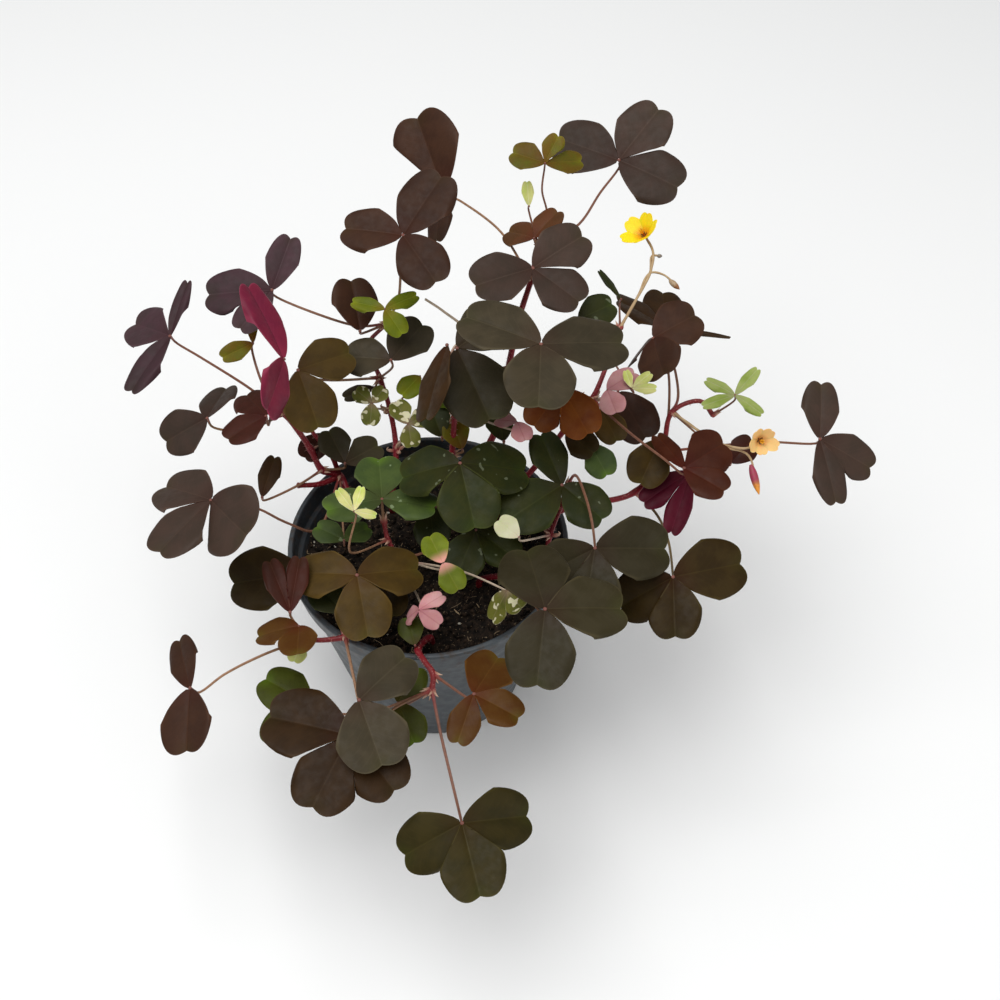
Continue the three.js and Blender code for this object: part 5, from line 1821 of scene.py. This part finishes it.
@dataclass
class Blossom:
    """The flowers, their stalks, sepals and stamens, and the buds beside them, in millimetres."""

    growth: Growth
    foliage: Foliage
    petal_thickness: float = 0.2
    stalk_share: float = 0.88
    stalk_wobble: float = 0.04
    sepal_radii: tuple[float, ...] = (0.35, 0.52, 0.6, 0.6, 0.55, 0.45, 0.34, 0.2, 0.06)
    stamen_radii: tuple[float, ...] = (0.09, 0.08, 0.08, 0.07, 0.07, 0.2, 0.24, 0.1)
    bud_shape: tuple[float, ...] = (0.35, 0.62, 0.8, 0.92, 0.98, 1.0, 0.98, 0.94, 0.86, 0.74, 0.56, 0.34, 0.1)

    def petals(self, plan: Flower) -> Piece:
        """Builds the five petals, which spread from a short throat.

        Args:
            plan: The flower's plan.

        Returns:
            The petals as one piece.
        """
        calyx, axis = self.growth.flower(plan)
        start = Vector((1.0, 0.0, 0.0)).cross(axis).normalized()
        petals = []
        for i, side in enumerate(self.ring(start, axis, PETAL_COUNT)):
            reach = plan.petal * (0.88 + 0.24 * vary(i, 71))
            arm = (side * math.sin(PETAL_OPENING) + axis * math.cos(PETAL_OPENING)) * reach
            forward = arm.normalized()
            up = (axis - forward * axis.dot(forward)).normalized()
            width = plan.petal * 0.8
            petals.append(self.foliage.leaflet(Detail.PETAL, arm, up, width, 0.1, -0.1, 90 + i, []))
        skins = (PETAL_FINISHES[plan.tone].material(),)
        piece = self.foliage.plate(f"{plan.name}_petals", petals, skins, self.petal_thickness)
        piece.data.transform(Matrix.Translation(calyx * MM))
        return piece

    def ring(self, start: Vector, axis: Vector, count: int, first: float = 0.0) -> list[Vector]:
        """Turns a direction evenly round a flower, the first by a share of the space between two."""
        return [turned(start, 2 * math.pi * (i + first) / count, axis) for i in range(count)]

    def calyx(self, plan: Flower) -> Piece:
        """Builds the cup of five pointed sepals behind the petals.

        Args:
            plan: The flower's plan.

        Returns:
            The calyx.
        """
        place, axis = self.growth.flower(plan)
        runs = []
        for side in self.ring(axis.orthogonal().normalized(), axis, PETAL_COUNT, 0.5):
            line = [place - axis * 0.9 + side * 0.1, place + side * 0.8, place + axis * 1.5 + side * 1.3]
            runs.append(Run.through(line, self.sepal_radii))
        return tubes(f"{plan.name}_calyx", runs, 1)

    def stamens(self, plan: Flower) -> Piece:
        """Builds the stamens: fine filaments of two heights with tiny anthers.

        Args:
            plan: The flower's plan.

        Returns:
            The stamens.
        """
        place, axis = self.growth.flower(plan)
        runs = []
        for i, side in enumerate(self.ring(axis.orthogonal().normalized(), axis, 2 * PETAL_COUNT)):
            tall = plan.petal * (0.5 if i % 2 else 0.36)
            line = [
                place + side * 0.2, place + axis * tall * 0.6 + side * 0.35, place + axis * tall + side * 0.7,
            ]
            runs.append(Run.through(line, self.stamen_radii))
        return tubes(f"{plan.name}_stamens", runs, 1)

    def bud(self, plan: Stalk, bud: Bud) -> Piece:
        """Builds a closed bud that goes on from a stalk's end.

        Args:
            plan: The stalk's plan.
            bud: The bud's sizes.

        Returns:
            The bud.
        """
        before, end = (self.growth.view.place(spot) for spot in plan.path[-2:])
        forward = (end - before).normalized() * bud.reach
        line = [end - forward * 0.75, end - forward * 0.3, end + forward * 0.25]
        run = Run.through(line, [bud.thick * share for share in self.bud_shape])
        return tubes(f"{plan.name}_body", [run], 3)

    def build(self) -> None:
        """Builds the stalks, buds and flowers."""
        straw = STRAW_SKIN.material()
        for plan in FLOWER_STALKS:
            run = self.growth.stalk_run(plan, STALK_STEPS)
            radii = enumerate(run.radii)
            run.radii = [self.stalk_share * r + self.stalk_wobble * math.sin(k * 0.9) for k, r in radii]
            dress(tubes(f"{plan.name}_stem", [run], 2), straw, "red_stem", plan.on[0])
        for plan in FLOWER_STALKS:
            if plan.name in BUDS:
                bud = BUDS[plan.name]
                skin = bud_skin(f"rolled bud {plan.name}", bud.sepals, bud.petals).material()
                dress(self.bud(plan, bud), skin, "petal_apricot", plan.on[0])
        for plan in FLOWERS:
            tone = plan.tone.value
            slot = f"petal_{tone}"
            sepals = SkinFinish(
                f"brown green sepals {tone}", "#5a3420", (Wash("#7a5a30", Source.ALONG),),
                roughness=0.55, grain=0.6,
            )
            filaments = SkinFinish(
                f"stamens {tone}", "#c8641c", (Wash("#f0b428", Source.ALONG, (0.6, 0.7, 0.0, 1.0)),),
                roughness=0.6,
            )
            settle(self.petals(plan), slot, plan.name)
            dress(self.calyx(plan), sepals.material(), slot, plan.name)
            dress(self.stamens(plan), filaments.material(), slot, plan.name)


@dataclass
class NurseryPot:
    """The round injection-moulded pot with its stepped rim band and drain holes, in millimetres."""

    sides: int = 96
    floor: float = 2.6
    drain_radius: float = 4.0
    drain_count: int = 6
    drain_circle: float = 24.0
    drain_cut: float = 8.0
    soft_edge: float = 0.25

    def inner_radius(self, height: float) -> float:
        """Gives the wall's inner radius at a height."""
        share = min(height / (POT_HEIGHT - RIM_BAND), 1.0)
        return BASE_RADIUS + (RIM_RADIUS - RIM_STEP - BASE_RADIUS) * share - WALL

    def skin(self, name: str, body: str, mottle: str) -> Material:
        """Makes moulded polypropylene: slate grey, matt, dusty with peat, most near the rim.

        Args:
            name: The material's name.
            body: The plastic's main colour.
            mottle: The colour that clouds it.

        Returns:
            The material.
        """
        paint = Palette(name)
        height = add_node(paint.tree, "ShaderNodeSeparateXYZ", {0: paint.place}).outputs["Z"]
        clouds = paint.ramp(paint.noise(18.0, 4.0), 0.3, 0.7)
        colour = paint.mix(clouds, body, mottle)
        runs = paint.ramp(paint.noise(9.0, 4.0, (1.0, 1.0, 0.2)), 0.52, 0.7, 0.0, 0.2)
        colour = paint.mix(runs, colour, "#555a5d")
        dust = paint.ramp(paint.noise(3.0, 5.0), 0.5, 0.68, 0.0, 0.8)
        near_rim = paint.ramp(height, 0.05, 0.083, 0.15, 1.0)
        colour = paint.mix(paint.math("MULTIPLY", dust, near_rim), colour, "#3a2f27")
        scuffs = paint.ramp(paint.noise(1.0, 2.0, (0.3, 0.3, 3.0)), 0.66, 0.72, 0.0, 0.35)
        colour = paint.mix(scuffs, colour, "#6c7276")
        rough = paint.ramp(paint.noise(4.0, 3.0), 0.3, 0.7, 0.42, 0.6)
        return paint.finish(
            Base_Color=colour, Roughness=rough, IOR=1.49, Specular_IOR_Level=0.45,
            Normal=paint.bump(paint.noise(0.9), 0.05, 0.5),
        )

    def profile(self) -> list[Pair]:
        """Gives the wall's outline as radius and height, from under the floor round to the inner floor."""
        shoulder = POT_HEIGHT - RIM_BAND
        band_inner = RIM_RADIUS - WALL
        return [
            (BASE_RADIUS - 7, 0.0), (BASE_RADIUS - 6, 1.2), (BASE_RADIUS - 4, 1.2), (BASE_RADIUS - 3, 0.0),
            (BASE_RADIUS - 0.8, 0.0), (BASE_RADIUS, 0.8), (BASE_RADIUS + 3.9, shoulder * 0.3),
            (BASE_RADIUS + 8.4, shoulder * 0.64), (RIM_RADIUS - RIM_STEP, shoulder - 0.6),
            (RIM_RADIUS - 0.4, shoulder), (RIM_RADIUS, POT_HEIGHT - 2.2),
            (RIM_RADIUS + 0.7, POT_HEIGHT - 1.9), (RIM_RADIUS + 0.95, POT_HEIGHT - 1.2),
            (RIM_RADIUS + 0.85, POT_HEIGHT - 0.4), (RIM_RADIUS + 0.4, POT_HEIGHT),
            (band_inner + 0.3, POT_HEIGHT), (band_inner, POT_HEIGHT - 0.5),
            (band_inner - 0.4, shoulder + 1), (self.inner_radius(shoulder), shoulder + 0.6),
            (self.inner_radius(self.floor), self.floor),
        ]

    def shell(self) -> Piece:
        """Extrudes the pot ring by ring and closes its floor.

        Returns:
            The pot without its drains.
        """
        (radius, height), *rest = self.profile()
        pot = added(
            bpy.ops.mesh.primitive_circle_add, "nursery_pot_shell",
            vertices=self.sides, radius=radius * MM, fill_type="NGON", location=(0.0, 0.0, height * MM),
        )
        edit_all()
        for next_radius, next_height in rest:
            extrude_rim(next_height - height, next_radius / radius, next_height)
            radius, height = next_radius, next_height
        bpy.ops.mesh.edge_face_add()
        close_outwards()
        return pot

    def drains(self) -> Piece:
        """Stands a ring of cylinders where the drain holes are cut."""
        cutters = []
        for i in range(self.drain_count):
            angle = 2 * math.pi * (i + 0.5) / self.drain_count
            x, y = self.drain_circle * math.cos(angle), self.drain_circle * math.sin(angle)
            cutters.append(added(
                bpy.ops.mesh.primitive_cylinder_add, f"drain_{i}",
                vertices=self.sides // 3, radius=self.drain_radius * MM, depth=self.drain_cut * MM,
                location=(x * MM, y * MM, self.drain_cut / 4 * MM),
            ))
        return join("drains", cutters)

    def build(self) -> None:
        """Cuts the drains, rounds the edges and paints shade on the upper half of the inner wall, beside and
        above the soil.
        """
        pot = self.shell()
        cutter = self.drains()
        cut = pot.modifiers.new("drains", "BOOLEAN")
        cut.object = cutter
        cut.operation = "DIFFERENCE"
        cut.solver = "EXACT"
        soften = pot.modifiers.new("soft edges", "BEVEL")
        soften.width = self.soft_edge * MM
        soften.segments = 2
        soften.limit_method = "ANGLE"
        soften.angle_limit = math.radians(POT_CREASE)
        bake_modifiers(pot)
        discard(cutter)
        rest_in_mesh(pot)
        smooth(pot, POT_CREASE)
        pot.data.materials.append(self.skin("moulded polypropylene", "#393f43", "#41464a"))
        # Painted shade: a darker copy of the plastic on the inner wall's upper half, inside the rim
        pot.data.materials.append(self.skin("polypropylene darkened by wet peat", "#1e2327", "#282d31"))
        for face in pot.data.polygons:
            facing = face.normal.x * face.center.x + face.normal.y * face.center.y
            face.material_index = int(facing < 0 and face.center.z > SOIL_TOP * MM * 0.5)
        settle(pot, "pot_plastic", "pot")


@dataclass
class PottingSoil:
    """Dark peat: a lumpy filled body with crumbs, pale fibres and perlite on it, in millimetres."""

    pot: NurseryPot
    sunk: float = 0.9
    floor: float = 2.9
    skirt: float = 8.0
    crumb_count: int = 1500
    crumb_sizes: Pair = (0.35, 1.9)
    fibre_count: int = 170
    fibre_shape: tuple[float, ...] = (0.5, 0.9, 1, 1, 1, 0.8, 0.4)
    perlite_count: int = 46
    perlite_sizes: Pair = (0.35, 1.1)

    def surface(self, x: float, y: float) -> float:
        """Gives the soil's height in millimetres at a place."""
        lumps = 1.5 * noise.noise(Vector((x * 0.07, y * 0.07, 3.0)))
        crumbs = 0.9 * noise.noise(Vector((x * 0.28, y * 0.28, 9.0)))
        crumbs += 0.5 * noise.noise(Vector((x * 0.7, y * 0.7, 5.0)))
        return SOIL_TOP - self.sunk + lumps + crumbs

    def body(self) -> Piece:
        """Models the filled body from a grid rounded to a disc, with sides down to the floor."""
        radius = self.pot.inner_radius(SOIL_TOP) - 0.1
        soil = added(
            bpy.ops.mesh.primitive_grid_add, "peat_body", x_subdivisions=96, y_subdivisions=96, size=2)
        for vertex in soil.data.vertices:
            x, y, _ = vertex.co
            round_x = x * math.sqrt(1 - y * y / 2) * radius
            round_y = y * math.sqrt(1 - x * x / 2) * radius
            vertex.co = (round_x * MM, round_y * MM, self.surface(round_x, round_y) * MM)
        edit_all()
        bpy.ops.mesh.region_to_loop()
        bottom = SOIL_TOP - self.skirt
        bpy.ops.mesh.extrude_edges_move(TRANSFORM_OT_translate={"value": (0.0, 0.0, -self.skirt * MM)})
        bpy.ops.transform.resize(value=(1.0, 1.0, 0.0), center_override=(0.0, 0.0, bottom * MM))
        extrude_rim(self.floor - bottom, (self.pot.inner_radius(self.floor) - 0.3) / radius, self.floor)
        bpy.ops.mesh.edge_face_add()
        close_outwards()
        smooth(soil, PEAT_CREASE)
        return rest_in_mesh(soil)

    def spots(self, count: int, draw: random.Random) -> list[Vector]:
        """Draws places on the soil's surface.

        Args:
            count: How many.
            draw: The seeded draw.

        Returns:
            Places in millimetres.
        """
        places = []
        reach = self.pot.inner_radius(SOIL_TOP) - 1.6
        for _ in range(count):
            angle, radius = draw.uniform(0, TURN), reach * math.sqrt(draw.random())
            x, y = radius * math.cos(angle), radius * math.sin(angle)
            places.append(Vector((x, y, self.surface(x, y))))
        return places

    def crumb_model(self) -> Piece:
        """Models one rough crumb, 1 mm in radius."""
        model = added(bpy.ops.mesh.primitive_ico_sphere_add, "crumb_model", subdivisions=2, radius=MM)
        for vertex in model.data.vertices:
            vertex.co *= 1 + 0.45 * noise.noise(vertex.co / MM * 1.7 + Vector((4.0, 0.0, 0.0)))
        return model

    def grains(self, name: str, count: int, sizes: Pair, seed: int) -> Piece:
        """Strews crumbs or grains over the surface.

        Args:
            name: The piece's name.
            count: How many.
            sizes: The smallest and largest radius.
            seed: Seeds the draw.

        Returns:
            The grains as one piece.
        """
        draw = random.Random(seed)
        model = self.crumb_model()
        places = []
        for spot in self.spots(count, draw):
            size = sizes[0] + (sizes[1] - sizes[0]) * draw.random() ** 2.2
            flat = (size, size * draw.uniform(0.6, 1.0), size * draw.uniform(0.5, 0.9))
            axis = Vector((draw.uniform(-1, 1), draw.uniform(-1, 1), draw.uniform(0.2, 1)))
            lifted = (spot + Vector((0, 0, size * 0.2))) * MM
            places.append(aim_matrix(lifted, axis, flat, draw.uniform(0, TURN)))
        return smooth(scatter(name, model, places), PEAT_CREASE)

    def fibres(self) -> Piece:
        """Lays thin bent fibres and bits of bark on the surface.

        Returns:
            The fibres as one piece.
        """
        draw = random.Random(31)
        runs = []
        for spot in self.spots(self.fibre_count, draw):
            heading = Vector((draw.uniform(-1, 1), draw.uniform(-1, 1), 0)).normalized()
            bend = Vector((-heading.y, heading.x, 0)) * draw.uniform(-1.4, 1.4)
            reach = draw.uniform(1.5, 6.0)
            line = [spot - heading * reach / 2, spot + bend, spot + heading * reach / 2]
            for place in line:
                place.z = self.surface(place.x, place.y) + draw.uniform(0.1, 0.7)
            thick = draw.uniform(0.08, 0.26)
            if max(math.hypot(p.x, p.y) for p in line) < self.pot.inner_radius(SOIL_TOP) - 0.5:
                runs.append(Run.through(line, [thick * share for share in self.fibre_shape], draw.random()))
        return tubes("peat_fibres", runs, 0)

    def build(self) -> None:
        """Builds the body, the crumbs, the perlite and the fibres."""
        dress(self.body(), peat_skin("moist peat", "#120e0b", "#2c221a").material(), "soil", "soil")
        crumbs = self.grains("peat_crumbs", self.crumb_count, self.crumb_sizes, 8)
        dress(crumbs, peat_skin("peat crumbs", "#17120e", "#3a2c21").material(), "soil")
        perlite = self.grains("perlite_grains", self.perlite_count, self.perlite_sizes, 12)
        dress(perlite, PERLITE_SKIN.material(), "soil")
        dress(self.fibres(), FIBRE_SKIN.material(), "soil")


@dataclass
class Studio:
    """The pale floor, the soft lights and the camera, in metres."""

    view: ViewModel
    floor_size: float = 6.0
    floor_drop: float = 0.0004
    sensor: float = 36.0
    lit_spot: Spot = (0.0, 0.0, 0.1)
    air_strength: float = 0.43

    def floor(self) -> None:
        """Lays the plain pale floor."""
        floor = added(
            bpy.ops.mesh.primitive_plane_add, "studio_floor",
            size=self.floor_size, location=(0.0, 0.0, -self.floor_drop),
        )
        paint = Palette("matt white studio floor")
        floor.data.materials.append(
            paint.finish(Base_Color=linear("#f4f4f3"), Roughness=0.9, Specular_IOR_Level=0.1))

    def light(self, name: str, place: Spot, size: float, power: float) -> None:
        """Hangs one square soft light that points at the plant.

        Args:
            name: Its name.
            place: Its place.
            size: The length of its side.
            power: Its power in watts.
        """
        lamp = bpy.data.lights.new(name, "AREA")
        lamp.shape = "SQUARE"
        lamp.size = size
        lamp.energy = power
        holder = linked(name, lamp)
        holder.location = place
        aim = Vector(self.lit_spot) - Vector(place)
        holder.rotation_euler = aim.to_track_quat("-Z", "Y").to_euler()

    def camera(self) -> None:
        """Sets the camera where the picture was taken from."""
        data = bpy.data.cameras.new("picture_camera")
        data.sensor_width = self.sensor
        data.lens = self.sensor * self.view.focal / self.view.frame
        data.clip_start = 0.01
        holder = linked("picture_camera", data)
        holder.location = self.view.point * MM
        holder.rotation_euler = (math.pi / 2 - self.view.tilt, 0.0, 0.0)
        bpy.context.scene.camera = holder

    def build(self) -> None:
        """Sets the stage."""
        self.floor()
        self.camera()
        self.light("overhead softbox", (-0.35, -0.1, 1.5), 1.3, 20.0)
        self.light("side fill", (1.3, -0.9, 0.9), 1.2, 7.0)
        world = bpy.data.worlds.new("studio air")
        world.use_nodes = True
        air = world.node_tree.nodes["Background"].inputs
        air["Color"].default_value = linear("#f2f4f6")
        air["Strength"].default_value = self.air_strength
        bpy.context.scene.world = world
        bpy.context.scene.view_settings.view_transform = "Standard"


def main() -> None:
    """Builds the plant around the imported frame, in order."""
    logging.basicConfig(level=logging.INFO, format="%(message)s")
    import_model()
    bpy.ops.object.select_all(action="DESELECT")
    view = ViewModel()
    Studio(view).build()
    growth = Growth(view)
    pot = NurseryPot()
    pot.build()
    PottingSoil(pot).build()
    StemWork(growth).build()
    foliage = Foliage(growth)
    Blossom(growth, foliage).build()
    foliage.build()
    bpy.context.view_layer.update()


if __name__ == "__main__":
    main()
